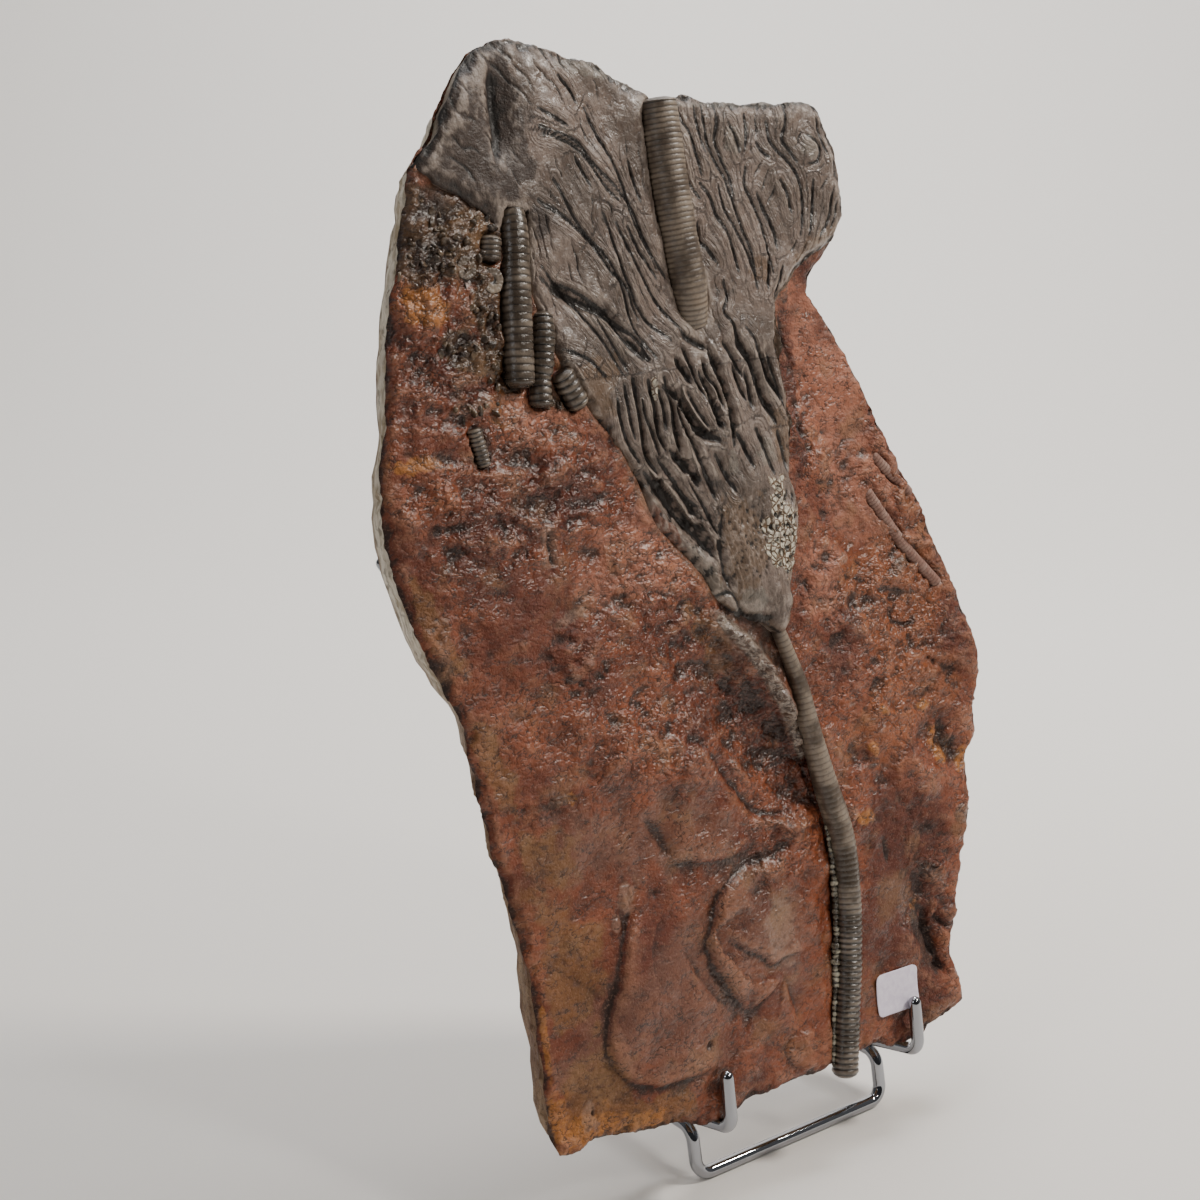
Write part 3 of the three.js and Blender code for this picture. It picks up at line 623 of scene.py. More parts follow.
SMALL_BODIES = [  # middle, half sizes, turn, rise, edge
    ((82, 113), (4.5, 9), 38, -2.2, 3), ((76, 118), (2.2, 3.4), 10, 1.6, 3), ((79, 107), (3, 4), 30, 1.4, 3),
    ((84, 114), (2.6, 3.4), 0, 2.6, 3), ((42.5, 117), (2.2, 3.2), 20, 1.5, 3),
    ((51, 130.5), (2.4, 1.4), -35, 1.0, 3), ((35, 92), (4.5, 2.6), 0, 1.5, 2),
    ((29, 95), (2.4, 2.4), 0, 1.2, 2), ((42, 110.5), (4.5, 1.0), 0, 0.7, 4), ((-81, 90), (2.4, 5), 0, 1.3, 3),
    ((-86, 82), (1.4, 2.6), 0, 0.9, 3), ((-107, 128.5), (6.5, 1.5), 0, 0.9, 3),
    ((-88, 174), (0.8, 0.8), 0, 0.8, 2), ((-120, 264), (8, 2.6), -4, 1.0, 4),
    ((-120, 264.6), (6, 1.2), -4, -1.2, 3), ((-135, 237), (5, 7), 10, 1.4, 2),
    ((-135, 298), (12, 10), 25, 1.6, 2), ((-124, 299), (4, 1.6), -30, 0.9, 3),
    ((-114, 293), (5, 5), 0, 1.4, 3), ((-114, 293), (2.4, 2.2), 0, -1.4, 3),
    ((-130, 310), (8, 6), 20, 1.1, 2), ((-118, 320), (6, 4), 0, 1.0, 2), ((-131, 322), (4, 3), 0, 0.9, 2),
    ((-106, 290), (1.6, 7), 4, 1.3, 3), ((-110, 279), (1.5, 5.5), 4, 1.2, 3),
    ((-115, 281), (3, 5), -20, 1.1, 3), ((-122, 283), (6, 2), -12, 0.9, 3),
    ((-118, 273), (7, 3.5), 10, 0.9, 2), ((67, 184), (4.5, 3.5), 20, 1.0, 2),
    ((77, 174), (2.2, 1.6), 0, 0.8, 2), ((60, 103), (7, 7.5), 0, 0.9, 4), ((60, 103), (5.2, 5.6), 0, -0.8, 4),
    ((66, 63), (7, 3.8), -14, 1.2, 3), ((88, 82), (4.5, 4), 20, 0.7, 3), ((52, 66), (1.8, 1.8), 0, 0.8, 2),
    ((38, 191), (2, 1.6), 0, 0.9, 2), ((-30, 193), (7, 10), 35, 1.4, 2), ((-14, 160), (4.5, 15), 38, 1.2, 3),
    ((-4, 145), (2.6, 8), 32, 1.0, 3), ((3, 127), (2, 6), 10, 1.0, 3), ((-83, 247), (5, 4), 0, 0.7, 3),
    ((-64, 235), (4.5, 7), 30, 0.8, 2), ((0, 95), (8, 5), 0, 1.1, 2), ((4, 33), (4, 3), 0, 0.8, 2),
    ((-4, 17), (3, 3), 0, 0.8, 2), ((-146, 186), (8, 14), -25, 1.6, 2), ((57, 45), (2, 5), 10, 0.8, 2),
    ((65, 52), (4, 3), 0, 1.0, 2),
]
print("smooth:", len(SMOOTH_AREAS), "rough:", len(ROUGH_AREAS), "small bodies:", len(SMALL_BODIES))

# %% [markdown]
# Each kind of mark has its own cross-section: a ledge is a rounded step, a groove is a soft notch, and a
# ridge is lumpy and broken. In colour, a ledge also gets painted shade in its foot and a painted highlight on
# its rim.

# %% Heights of the marks
LEDGE_RAGGED = 0.6
# width of the painted shade at a ledge's foot, and how far up the painted highlight on its rim lies
FOOT_SHADE_WIDTH, LIT_RIM_PLACE = 0.65, 1.9


def ledge_marks(u, v):
    apart, width, rise, _ = ledges.near(u, v)
    return apart + LEDGE_RAGGED * layers(u, v, size=8, count=2, seed=61), width, rise


def ledge_height(u, v):
    """A step, high and rounded on the left of its line, with a narrow trough at its foot."""
    apart, width, rise = ledge_marks(u, v)
    above, below = np.maximum(apart, 0), np.minimum(apart, 0)
    high = (1 - np.exp(-above / (0.5 + 0.4 * width))) * np.exp(-above / (6 * width))
    low = np.exp(below / (1.8 * width)) * np.exp(-above / 1.2)
    return rise * (0.9 * high - 0.3 * low)


def ledge_shading(u, v):
    """Painted shade at a ledge's foot, below 0, and a painted highlight on the rim above it, over 0."""
    apart, _, rise = ledge_marks(u, v)
    rim = 0.35 * bell(apart - LIT_RIM_PLACE, 1.3)
    broken = 0.4 + 0.6 * noise(u, v, size=9, seed=63)
    return step(1.2, 3.2, rise) * (rim - 0.6 * broken * bell(apart + 0.1, FOOT_SHADE_WIDTH))


def groove_height(u, v):
    apart, width, rise, _ = grooves.near(u, v)
    return -rise * bell(apart, width)


def ridge_height(u, v):
    """A lumpy, broken ridge, steeper on its right side."""
    apart, width, rise, _ = ridges.near(u, v)
    apart = apart + 0.35 * width * layers(u, v, size=7, count=3, seed=69)
    lumps = 1 + 1.1 * layers(u, v, size=6, count=3, seed=67)
    return rise * lumps * np.exp(-np.abs(apart / width) ** np.where(apart > 0, 1.6, 3.0))


print("height at a ledge's foot:", ledge_height(np.array([[-96.0]]), np.array([[45.0]])).round(2))

# %% [markdown]
# The height of the slab's face is the sum of all that: broad forms, rough noise at several sizes, the small
# flats of layered rock, ledges, grooves and bodies. Near its rim the face falls away.

# %% Height of the slab's face
EDGE_DROP, EDGE_REACH = 2.2, 2.2
BREAK_HEIGHT = 1.3  # thickness of the rock's own thin beds, where it breaks in flats
KNOB_SIZE = 3.6
DEBRIS = [  # broken stems and shell: middle, half sizes, turn, raggedness, seed
    ((-125, 320), (27, 17), 0, 0.2, 131), ((-106, 288), (8, 23), 8, 0.25, 133),
    ((-120, 281), (10, 6), -35, 0.25, 137), ((-86, 264), (10, 5), -30, 0.3, 135),
]


def debris_mask(u, v):
    return np.max([spot(u, v, *area) for area in DEBRIS], axis=0)


def roughness(u, v):
    return (1 - 0.85 * covered(SMOOTH_AREAS, u, v)) * (0.35 + 0.65 * covered(ROUGH_AREAS, u, v))


def debris_height(u, v, su, sv):
    shift_u, shift_v = (2 * noise(u, v, size=5, seed=seed) for seed in (143, 149))
    knob, number = cells(su + shift_u, sv + shift_v, KNOB_SIZE, seed=141)
    crag = crags(u, v, size=7, count=3, seed=145) - 0.4
    return debris_mask(su, sv) * ((0.1 + 0.7 * number) * step(0.75, 0.3, knob) + 1.1 * crag)


def rock_height(u, v, broad, rough):
    warp = 2.2 * noise(u, v, size=14, seed=3)
    h = broad + (0.4 + 0.5 * rough) * layers(u + warp, v, size=26, count=3, seed=11)
    h += rough * 2.3 * (crags(0.8 * u + warp, 1.3 * v + 0.25 * u, size=15, count=4, seed=23) - 0.42)
    fine = layers(0.8 * u + warp, 1.2 * v - 0.6 * u, size=8, count=3, seed=41, keep=0.55)
    h += (0.15 + 0.85 * rough) * 0.7 * fine
    bed = (h + 0.15 * v + 3 * noise(u, v, size=30, seed=77)) / BREAK_HEIGHT
    return h + (0.75 * rough + 0.1) * 0.45 * (step(0.35, 0.65, bed % 1) - bed % 1)


def slab_height(u, v, rim):
    """Height of the face; rim is the distance to the slab's edge."""
    broad = slab_broad(u, v)
    su, sv = as_seen(u, v, broad)
    h = rock_height(u, v, broad, roughness(su, sv))
    h += ledge_height(su, sv) + groove_height(su, sv) + ridge_height(su, sv)
    h += debris_height(u, v, su, sv)
    for at, size, turn, rise, edge in SMALL_BODIES:
        h += rise * oval(su, sv, at, size, turn, edge) * (1 + 0.5 * layers(u, v, size=2.6, count=2, seed=9))
    ragged_rim = rim + 1.6 * layers(u, v, size=7, count=4, seed=57, keep=0.65)
    return h - EDGE_DROP * bell(np.maximum(ragged_rim, 0), EDGE_REACH)


print("face height in the middle:", slab_height(*np.array([0.0, 110.0, 90.0])[:, None, None]).round(2))

# %% [markdown]
# ## The crown
#
# The crown is a mat of dark fossil on the upper part of the slab: a narrow cup, thick crossing bases of arms
# above it, and then a fan of long, fine arms. Its outline comes first, because the stone gives way under it.

# %% Outline of the crown
CROWN_OUTLINE = {
    "bottom": [(-27, 185), (-21, 180), (-14, 176), (-7, 174), (-3, 170), (1, 168.5), (3.5, 172), (5.5, 183)],
    "top": SLAB_OUTLINE["left"][-4:] + SLAB_OUTLINE["top"][1:] + SLAB_OUTLINE["right"][-2:-5:-1],
    "left": [(-27, 185), (-38, 201), (-50, 214), (-57, 233), (-65, 246), (-74, 258), (-83, 274), (-90, 292),
        (-96, 312), (-108, 326), (-132, 341)],
    "right": [(5.5, 183), (12, 197), (16.5, 213), (15, 224), (17, 240), (16, 262), (15, 274), (17, 288),
        (24, 295), (32, 301), (44, 306), (54, 312)],
}
CROWN_FORMS = [
    ((-8, 208), (18, 34), -8, 5),  # the cup, above the stem
    ((-30, 255), (30, 20), 20, 3),  # bases of the arms
    ((-40, 225), (6, 16), 35, -3),  # deep furrow on the cup's left
    ((1, 177), (6, 12), -8, 3.4),  # the cup's neck, which sits on the stem
    ((-15, 181), (5, 7), 30, -1.6),  # hollow beside the neck
    ((-112, 352), (16, 20), -20, 2.5),  # lumpy stone at the top left corner
    ((-96, 360), (4, 14), 0, -2.5),  # groove beside it
    ((35, 335), (20, 26), 0, 1.5),
]
CROWN_UNDERSIDE = -7.5
crown_edge = np.vstack([smooth_line(CROWN_OUTLINE[side], spacing=1)[::way][:-1]
                        for side, way in (("bottom", 1), ("right", 1), ("top", -1), ("left", -1))])
inner_edge = Marks([(1, 1, CROWN_OUTLINE[side]) for side in ("bottom", "left", "right")])


def inside(ring, u, v):
    crossings = np.zeros(u.shape, int)
    for (x0, y0), (x1, y1) in zip(ring, np.roll(ring, -1, axis=0)):
        if y0 == y1:
            continue
        between = (v >= min(y0, y1)) & (v < max(y0, y1))
        crossings += between & (u < x0 + (v - y0) * (x1 - x0) / (y1 - y0))
    return crossings % 2 == 1


def crown_broad(u, v):
    return 1.2 + form_height(CROWN_FORMS, u, v) + roll_height(SLAB_ROLL, u, v)


print("crown edge points:", len(crown_edge))

# %% [markdown]
# The sides of the slab are broken, and slope inwards a little towards its rough back. The same noise shifts
# every rim, so that the pieces of stone meet.

# %% Sides and back of the slab
SLAB_THICKNESS = 22
LEFT_THINNING = 6
EDGE_INSET = 8
STEEP_LEFT = 2.6  # this much less inset where the left side is steep
CHIP_DEPTH = 0.75


def chipped(grid):
    """Breaks a rim a little, in the same way for every piece of stone at one place."""
    u, v = grid[..., 0], grid[..., 1]
    shift = [CHIP_DEPTH * layers(u, v, size=11, count=5, seed=seed, keep=0.62) for seed in (83, 91)]
    return grid + np.stack(shift, axis=-1)


def drawn_in(points, middle, share):
    """Points of the rim moved inwards, as the slab's sides slope, by a share of the whole inset. The left
    side is steeper in its upper half."""
    away = points - middle
    far = np.linalg.norm(away, axis=-1, keepdims=True)
    u, v = points[..., :1], points[..., 1:]
    steep = STEEP_LEFT * step(-90, -130, u) * step(150, 185, v) * step(345, 310, v)
    return points - away / np.maximum(far, 1e-6) * (EDGE_INSET - steep) * share * np.minimum(1, far / 60)


def slab_back(u, v):
    thickness = SLAB_THICKNESS - LEFT_THINNING * step(20, 130, -u)
    rough = 1.1 * (crags(u, v, size=40, count=4, seed=63) - 0.45)
    rough = rough + 0.5 * layers(u, v, size=14, count=3, seed=71)
    return -thickness - roll_height(BACK_ROLL, u, v) + rough


print("back at the slab's middle:", slab_back(np.zeros(1), np.full(1, 150.0)).round(2))

# %% [markdown]
# The slab is put together from its front grid, nine rings of wall and a coarser back. Under the crown its
# face drops out of sight. The wall swells and breaks back on its way down.

# %% Build the slab
SLAB_COLUMNS, SLAB_ROWS = 228, 316  # both are multiples of BACK_STEP
BACK_STEP = 4  # the back has one point for every 4 of the front, each way
GRID_STEP = 1.15  # mean distance between two points of the front
UNDER_CROWN = 1.5  # the face lies this far under the crown's at its edge
UNDER_CROWN_DROP, UNDER_CROWN_REACH = 5.5, 5
WALL = [(1, 0.05), (1, 0.11), (1, 0.18), (1, 0.27), (1, 0.37), (1, 0.48), (2, 0.6), (2, 0.73), (2, 0.86)]


def slab_face():
    grid = chipped(patch(SLAB_OUTLINE, SLAB_COLUMNS, SLAB_ROWS))
    u, v = grid[..., 0], grid[..., 1]
    rows, columns = np.mgrid[0:SLAB_ROWS + 1, 0:SLAB_COLUMNS + 1]
    steps = np.minimum(np.minimum(rows, SLAB_ROWS - rows), np.minimum(columns, SLAB_COLUMNS - columns))
    w = slab_height(u, v, GRID_STEP * steps)
    under = inside(crown_edge, u, v)
    drop = UNDER_CROWN_DROP * step(0, UNDER_CROWN_REACH, abs(inner_edge.near(u, v)[0]))
    w = np.where(under, np.minimum(w, crown_broad(u, v) - UNDER_CROWN - drop), w)
    return grid, beds.sink(u, v, w, crevice=0.9), under


def add_wall(body, above, rim, top, middle):
    """Rings from the rim down to the back, each pushed in and out by noise. WALL gives how many of the
    rim's points each ring takes and how deep it lies."""
    out = outwards(rim)
    around = np.arange(len(rim)) * GRID_STEP
    for every, share in WALL:
        pick = slice(None, None, every)
        start = np.clip(-top[pick, None] / SLAB_THICKNESS, 0, 1)
        ring = drawn_in(rim[pick], middle, start + (1 - start) * share)
        deep = top[pick] + (slab_back(*ring.T) - top[pick]) * share
        swell = (0.9 * layers(around[pick], 3 * deep, size=17, count=4, seed=101)
                 + 1.1 * crags(around[pick], 1.6 * deep, size=7, count=4, seed=107) - 0.4)
        ring = ring + out[pick] * (swell * math.sin(math.pi * min(1, 1.4 * share)))[:, None]
        lower = body.add(np.column_stack([ring, deep]), side=np.full(len(ring), min(1, 4 * share)),
                         chalk=step(20, -20, ring[:, 0]) * step(140, 200, ring[:, 1]))
        body.band(above, lower)
        above = lower
    return above


def build_slab():
    grid, w, under = slab_face()
    places = rim_of(SLAB_COLUMNS, SLAB_ROWS)
    rim = grid[places]
    middle = rim.mean(axis=0)
    sunk = drawn_in(grid, middle, np.clip(-w[..., None] - 2, 0, 9) / SLAB_THICKNESS * under[..., None])
    body = Body()
    front = body.add(np.dstack([sunk, w])).reshape(w.shape)
    body.grid(front)
    above = add_wall(body, front[places], rim, w[places], middle)
    back = drawn_in(grid[::BACK_STEP, ::BACK_STEP], middle, 1)
    index = body.add(np.dstack([back, slab_back(back[..., 0], back[..., 1])]),
                     side=np.ones(back[..., 0].size)).reshape(back.shape[:2])
    body.band(above, index[rim_of(SLAB_COLUMNS // BACK_STEP, SLAB_ROWS // BACK_STEP)])
    body.grid(index, flip=True)
    return body, grid[..., 0], grid[..., 1], w


slab_body, slab_u, slab_v, slab_w = build_slab()
print("slab:", slab_body.count, "points,", len(slab_body.faces), "faces")

# %% [markdown]
# ## Height of the crown
#
# The arms are modelled by the furrows between them. Those of the two fans are fine and long; those in the
# middle, where the arm bases cross and bend, are wide and deep. Between two furrows an arm swells softly.

# %% Furrows between the arms
FAN_FURROWS = [
    [-80, 350, -73, 348, -68, 346, -62, 341, -58, 335, -54, 330, -50, 326.5],
    [-61, 358, -57, 350, -52, 341, -48, 331, -45, 320, -42, 313, -37.5, 303],
    [-77, 335, -74, 330, -70, 322, -66, 316, -61, 309, -57, 303, -52, 298, -48, 286],
    [-67, 342, -64, 336, -62, 332], [-80, 358, -74, 355, -69, 352], [-70, 369, -66, 364, -64, 360],
    [-48, 318, -44, 309, -40, 303, -38, 300], [-45, 340, -43, 332, -41, 326], [-62, 264, -70, 274, -80, 278],
    [-57, 268, -64, 280, -72, 290, -80, 300, -86, 307], [-48, 272, -55, 280, -60, 288, -70, 296, -80, 301],
    [-42, 272, -50, 283, -54, 300, -60, 310, -68, 317, -75, 323, -84, 328],
    [-35, 278, -45, 286, -51, 300, -56, 317, -58, 323], [-28, 280, -38, 290, -46, 305, -53, 320],
    [-34, 300, -40, 310, -45, 323, -50, 330, -60, 340, -66, 347, -80, 352],
    [-72, 293, -60, 287, -50, 280, -45, 272], [-80, 279, -72, 275, -66, 270, -62, 266],
    [-79, 272, -75, 266, -73, 262], [-66, 289, -62, 282, -58, 275, -55, 269],
    [-19.5, 359, -19.2, 354, -16, 348, -14, 340, -13, 334], [-12.5, 358, -12.5, 353, -11, 346, -10, 342],
    [-9, 358, -9, 350, -8, 343, -5, 337, -2, 332, 1, 322, 3, 316, 7, 306, 8, 298],
    [-3, 358, -3, 352, -5, 346, -3, 339, 0, 333, 1, 326], [-20, 340, -19, 334, -17, 329, -15, 326],
    [-14, 331, -10, 326, -8, 320, -4, 314, -1, 305, 0, 300],
    [-6, 330, -4, 322, 0, 315, 4, 308, 7, 300, 8, 293], [8, 336, 7, 330, 10, 323, 13, 316, 15, 306, 16, 298],
    [12, 327, 16, 319, 19, 312, 19, 306],
    [20, 352, 21, 345, 24, 341, 28, 338, 32, 333, 34, 325, 33, 316, 31, 311], [14, 345, 17, 341, 20, 339],
    [30, 357, 29, 350, 27, 345, 30, 341, 33, 337], [24, 331, 27, 325, 28, 319],
    [40, 330, 39, 322, 37, 314, 35, 310], [50, 327, 48, 320, 45, 314, 42, 311, 40, 308],
    [52, 322, 50, 317, 47, 312], [39, 346, 43, 344, 45, 341, 43, 337, 39, 336],
    [-17, 318, -17, 312, -13, 308, -10, 303], [-8, 297, -7, 291, -9, 286, -5, 281, -3, 275, 0, 270],
    [0, 280, 4, 275, 6, 268], [15, 304, 14, 297, 13, 293], [21, 300, 19, 295, 16, 290],
    [2, 352, 4, 347, 6, 341], [10, 355, 10, 348, 8, 342], [45, 352, 46, 346, 48, 340],
]
DEEP_FURROWS = [
    (2.2, 2.2, [-88, 304, -78, 297, -70, 293, -62, 290, -56, 283, -50, 276, -46, 272]),
    (1.7, 2.6, [-19, 275, -16, 268, -13, 260, -11, 252, -10.5, 245, -11, 239]),
    (1.4, 2.0, [-24, 266, -21, 260, -19, 255, -17, 249, -15, 246]),
    (1.8, 2.4, [-5, 280, -3, 273, 1, 267, 3, 260, 5, 254, 8, 249, 10, 244]),
    (1.3, 2.0, [5, 272, 7, 267, 9, 260, 12, 256, 14, 252]),
    (2.6, 3.0, [-40, 262, -35, 258, -31, 252, -27, 246, -22, 243, -18, 241]),
    (0.9, 1.4, [-60.5, 260, -59.5, 252, -57, 244, -54, 238]), (0.7, 1.1, [-57, 264, -55.5, 252, -54.5, 246]),
    (1.0, 1.9, [-53, 266, -51.2, 250, -50.4, 240, -47, 233]),
    (0.7, 1.3, [-50, 259, -49, 253, -46.8, 247, -45, 239]),
    (0.8, 1.5, [-46.6, 265, -45.2, 257, -44.4, 247, -42, 240]),
    (0.7, 1.1, [-42.6, 261, -41.2, 254, -41, 248]), (1.1, 1.8, [-39.5, 265, -37.2, 255, -37, 246, -35, 237]),
    (0.8, 1.4, [-34.5, 257, -33.6, 250, -31, 243]), (0.7, 1.0, [-30, 259, -26, 252, -22, 246]),
    (0.7, 1.0, [-33, 247, -30, 241, -28, 236]), (0.8, 1.4, [-30.5, 276, -27, 268, -25, 262, -22, 257]),
    (0.9, 1.6, [-22, 270, -20, 264, -16, 259, -14, 252]), (1.5, 2.0, [-17.5, 254, -17, 249, -16, 245]),
    (0.8, 1.4, [-8, 267, -6, 260, -3.5, 254]), (0.8, 1.3, [-3, 264, -1.5, 258, -1, 252]),
    (0.8, 1.3, [-12, 276, -8, 270, -4, 262]), (0.8, 1.2, [9, 270, 11, 262, 13, 255, 15, 250]),
    (0.9, 1.3, [-30, 240, -27, 233, -24, 226, -22, 220]),
    (0.9, 1.4, [-46, 238, -41, 231, -36, 224, -31, 219]),
    (0.8, 1.2, [-34, 230, -30, 223, -25, 213, -21, 205]),
    (2.0, 3.0, [-40, 240, -36, 236, -32, 231, -29, 226]),
    (3.0, 3.6, [-52, 234, -45, 226, -40, 218, -34, 212, -28, 206, -24, 199]),
    (1.2, 1.4, [-42, 229, -38, 226, -35, 221, -32, 216]), (1.0, 1.2, [-20, 236, -16, 228, -12, 222]),
    (1.0, 1.2, [-10, 244, -6, 236, -3, 229]), (1.0, 1.2, [0, 243, 3, 235, 6, 226]),
    (1.2, 1.4, [10, 242, 12, 234, 13, 226]), (1.4, 1.2, [-20, 215, -22, 205, -22, 196, -20, 188]),
    (1.0, 1.0, [-36, 184, -28, 186, -20, 187, -16, 181, -12, 176]),
    (1.2, 1.6, [-30, 280, -24, 276, -18, 273]), (1.4, 1.8, [-34, 272, -30, 266, -28, 262]),
    (1.8, 1.8, [-98, 372, -98, 358, -98, 346, -99, 340]),
]
CROWN_BODIES = [  # middle, half sizes, turn, rise, edge
    ((-24, 231), (5, 2.0), -38, 1.6, 2), ((-33, 240), (1.7, 6), 20, 1.2, 2),
    ((-26, 236), (1.8, 5), 35, 1.0, 2), ((8, 206), (9, 16), 0, 1.2, 3), ((2, 190), (4, 5), 0, 0.9, 2),
    ((-108, 332), (9, 4), -30, 0.9, 2), ((-120, 350), (5, 4), 20, 1.1, 2), ((-112, 362), (4, 6), 0, 1.0, 2),
    ((4, 345), (4, 6), 0, 0.8, 3), ((40, 342), (4, 5), 0, 0.8, 3), ((-9, 184), (9, 5), 0, 0.8, 2),
    ((-11, 201), (10, 9), 0, 0.8, 3),
]
fan_furrows = Marks([(0.58, 1.25, line) for line in FAN_FURROWS])
deep_furrows = Marks(DEEP_FURROWS)
print("fan furrows:", len(FAN_FURROWS), "deep furrows:", len(DEEP_FURROWS))

# %% [markdown]
# Where no furrow was drawn, thinner ones run up the fan, as arms do that fork again and again. They follow
# the grid's own columns, which spread from the cup to the top edge.

# %% Height of the crown's face
THIN_ARMS = 30
FAN_FROM, FAN_TO = 262, 290  # the fan begins gradually between these places up the slab


def arms_height(u, v, su, sv, across):
    """The fine arms of the fans: drawn furrows first, and thin ones where none is near."""
    fan = step(FAN_FROM, FAN_TO, sv)
    apart, width, depth, run = fan_furrows.near(su + 0.3 * noise(u, v, size=5, seed=205), sv)
    far = abs(apart)
    h = 0.3 * fan * (1 - np.exp(-far / 1.2))
    h -= 0.9 * depth * np.exp(-(far / width) ** 1.5) * (0.35 + 0.65 * fan)
    h += 0.16 * fan * step(6, 3, far) * layers(apart, 0.22 * run, size=1.5, count=2, seed=211)
    wave = 0.5 * layers(u, v, size=16, count=2, seed=221)
    thin = np.abs(np.sin(math.pi * (across * THIN_ARMS + wave)))
    here = step(2.2, 3.6, far) * step(-0.1, 0.4, noise(u, 0.4 * v, size=9, seed=225))
    return h - (0.5 * fan + 0.1) * here * bell(thin, 0.22)


def arm_bases_height(su, sv):
    apart, width, depth, run = deep_furrows.near(su, sv)
    middle = step(226, 240, sv) * step(286, 268, sv) * step(-62, -52, su)
    swelling = 0.9 * (1 - bell(apart, 1.8)) + 0.12 * layers(apart, 0.25 * run, size=1.5, count=2, seed=213)
    return middle * swelling - depth * bell(apart, width)


def cup_height(u, v, su, sv):
    skin = step(-90, -100, su) * step(318, 330, sv)
    cup = step(228, 214, sv)
    h = (0.3 + 0.5 * cup + 0.1 * skin) * 0.5 * layers(u, 0.6 * v, size=4.5, count=3, seed=231, keep=0.6)
    h += 0.12 * layers(u, v, size=1.9, count=2, seed=251)
    beads, _ = cells(u, v, size=2.0, seed=261)
    h -= 0.3 * cup * step(186, 192, sv) * step(4, -2, su) * step(0.42, 0.2, beads)
    crystal = spot(su, sv, (8, 206), (8, 15), turn=0, ragged=0.3, seed=271)
    return h + crystal * 1.5 * (crags(u, v, size=4.2, count=2, seed=281) - 0.4)


def crown_rim_drop(u, v, su, sv, rim):
    inner = abs(inner_edge.near(u, v)[0]) + 1.4 * layers(u, v, size=12, count=3, seed=291)
    skin, neck = step(300, 318, sv) * step(-90, -100, su), step(184, 178, sv) * step(-10, -5, su)
    outer = rim + 1.6 * layers(u, v, size=9, count=3, seed=57)
    inner_drop = 3.4 - 2.4 * (skin + 0.6 * neck)
    return inner_drop * bell(np.maximum(inner, 0), 2.4) + 1.8 * bell(np.maximum(outer, 0), 2.6)


def crown_height(u, v, across, rim):
    """Height of the face; across runs over its width from 0 to 1, rim is the distance to its edge."""
    broad = crown_broad(u, v)
    su, sv = as_seen(u, v, broad)
    h = broad + 0.5 * layers(u, v, size=22, count=3, seed=201)
    h += arms_height(u, v, su, sv, across) + arm_bases_height(su, sv) + cup_height(u, v, su, sv)
    h += form_height(CROWN_BODIES, su, sv)
    return h - crown_rim_drop(u, v, su, sv, rim)


print("thin arms over the whole fan:", THIN_ARMS)

# %% [markdown]
# The crown is built like the slab: a front grid, a short wall that goes down into the stone, and one flat
# face underneath, which is never seen.

# %% Build the crown
CROWN_COLUMNS, CROWN_ROWS = 368, 228
CROWN_MIDDLE = (-26, 190)  # the wall leans in towards this place


def build_crown():
    grid = chipped(patch(CROWN_OUTLINE, CROWN_COLUMNS, CROWN_ROWS))
    u, v = grid[..., 0], grid[..., 1]
    across = np.linspace(0, 1, CROWN_COLUMNS + 1)[None, :] * np.ones((CROWN_ROWS + 1, 1))
    outer = Marks([(1, 1, CROWN_OUTLINE["top"])])
    w = crown_height(u, v, across, abs(outer.near(u, v)[0]))
    w = np.maximum(beds.sink(u, v, w, crevice=0.8), CROWN_UNDERSIDE + 0.6)
    body = Body()
    front = body.add(np.dstack([u, v, w])).reshape(w.shape)
    body.grid(front)
    places = rim_of(CROWN_COLUMNS, CROWN_ROWS)
    rim, top, above = grid[places], w[places], front[places]
    for share in (0.25, 0.55, 1):
        deep = top + (CROWN_UNDERSIDE - top) * share
        ring = drawn_in(rim, np.array(CROWN_MIDDLE), 0.8 * (top - deep)[:, None] / SLAB_THICKNESS)
        below = body.add(np.column_stack([ring, deep]), side=np.full(len(ring), share))
        body.band(above, below)
        above = below
    body.faces.append(above[::-1].tolist())
    return body, u, v, w


crown_body, crown_u, crown_v, crown_w = build_crown()
print("crown:", crown_body.count, "points,", len(crown_body.faces), "faces")

# %% [markdown]
# ## Finishes
#
# Node trees are long to write out one link at a time. A small class wraps a socket, so that a sum or a
# product of sockets adds its own Math nodes, and one method adds any other node. Both serve the materials
# and the Geometry Nodes trees.

# %% Sockets that can be added and multiplied
class Socket:
    def __init__(self, graph, output):
        self.graph, self.output = graph, output

    def math(self, operation, *others, flip=False):
        terms = [self, *others]
        return self.graph.node("ShaderNodeMath", {"operation": operation},
                               dict(enumerate(terms[::-1] if flip else terms)))

    def __add__(self, other): return self.math("ADD", other)
    def __sub__(self, other): return self.math("SUBTRACT", other)
    def __rsub__(self, other): return self.math("SUBTRACT", other, flip=True)
    def __mul__(self, other): return self.math("MULTIPLY", other)
    def __truediv__(self, other): return self.math("DIVIDE", other)
    def __pow__(self, other): return self.math("POWER", other)
    __radd__, __rmul__ = __add__, __mul__


class Graph:
    def __init__(self, tree):
        self.tree = tree

    def node(self, kind, settings=None, inputs=None, output=0):
        made = self.tree.nodes.new(kind)
        for name, value in (settings or {}).items():
            setattr(made, name, value)
        for key, value in (inputs or {}).items():
            if isinstance(value, Socket):
                self.tree.links.new(value.output, made.inputs[key])
            else:
                made.inputs[key].default_value = value
        return Socket(self, made.outputs[output])

    def ease(self, value, low, high):
        """Rises smoothly from 0 where the value is low to 1 where it is high."""
        return self.node("ShaderNodeMapRange", {"interpolation_type": "SMOOTHSTEP"},
                         {0: value, 1: low, 2: high, 3: 0.0, 4: 1.0})


print("operators:", sum(name.startswith("__") for name in vars(Socket)))

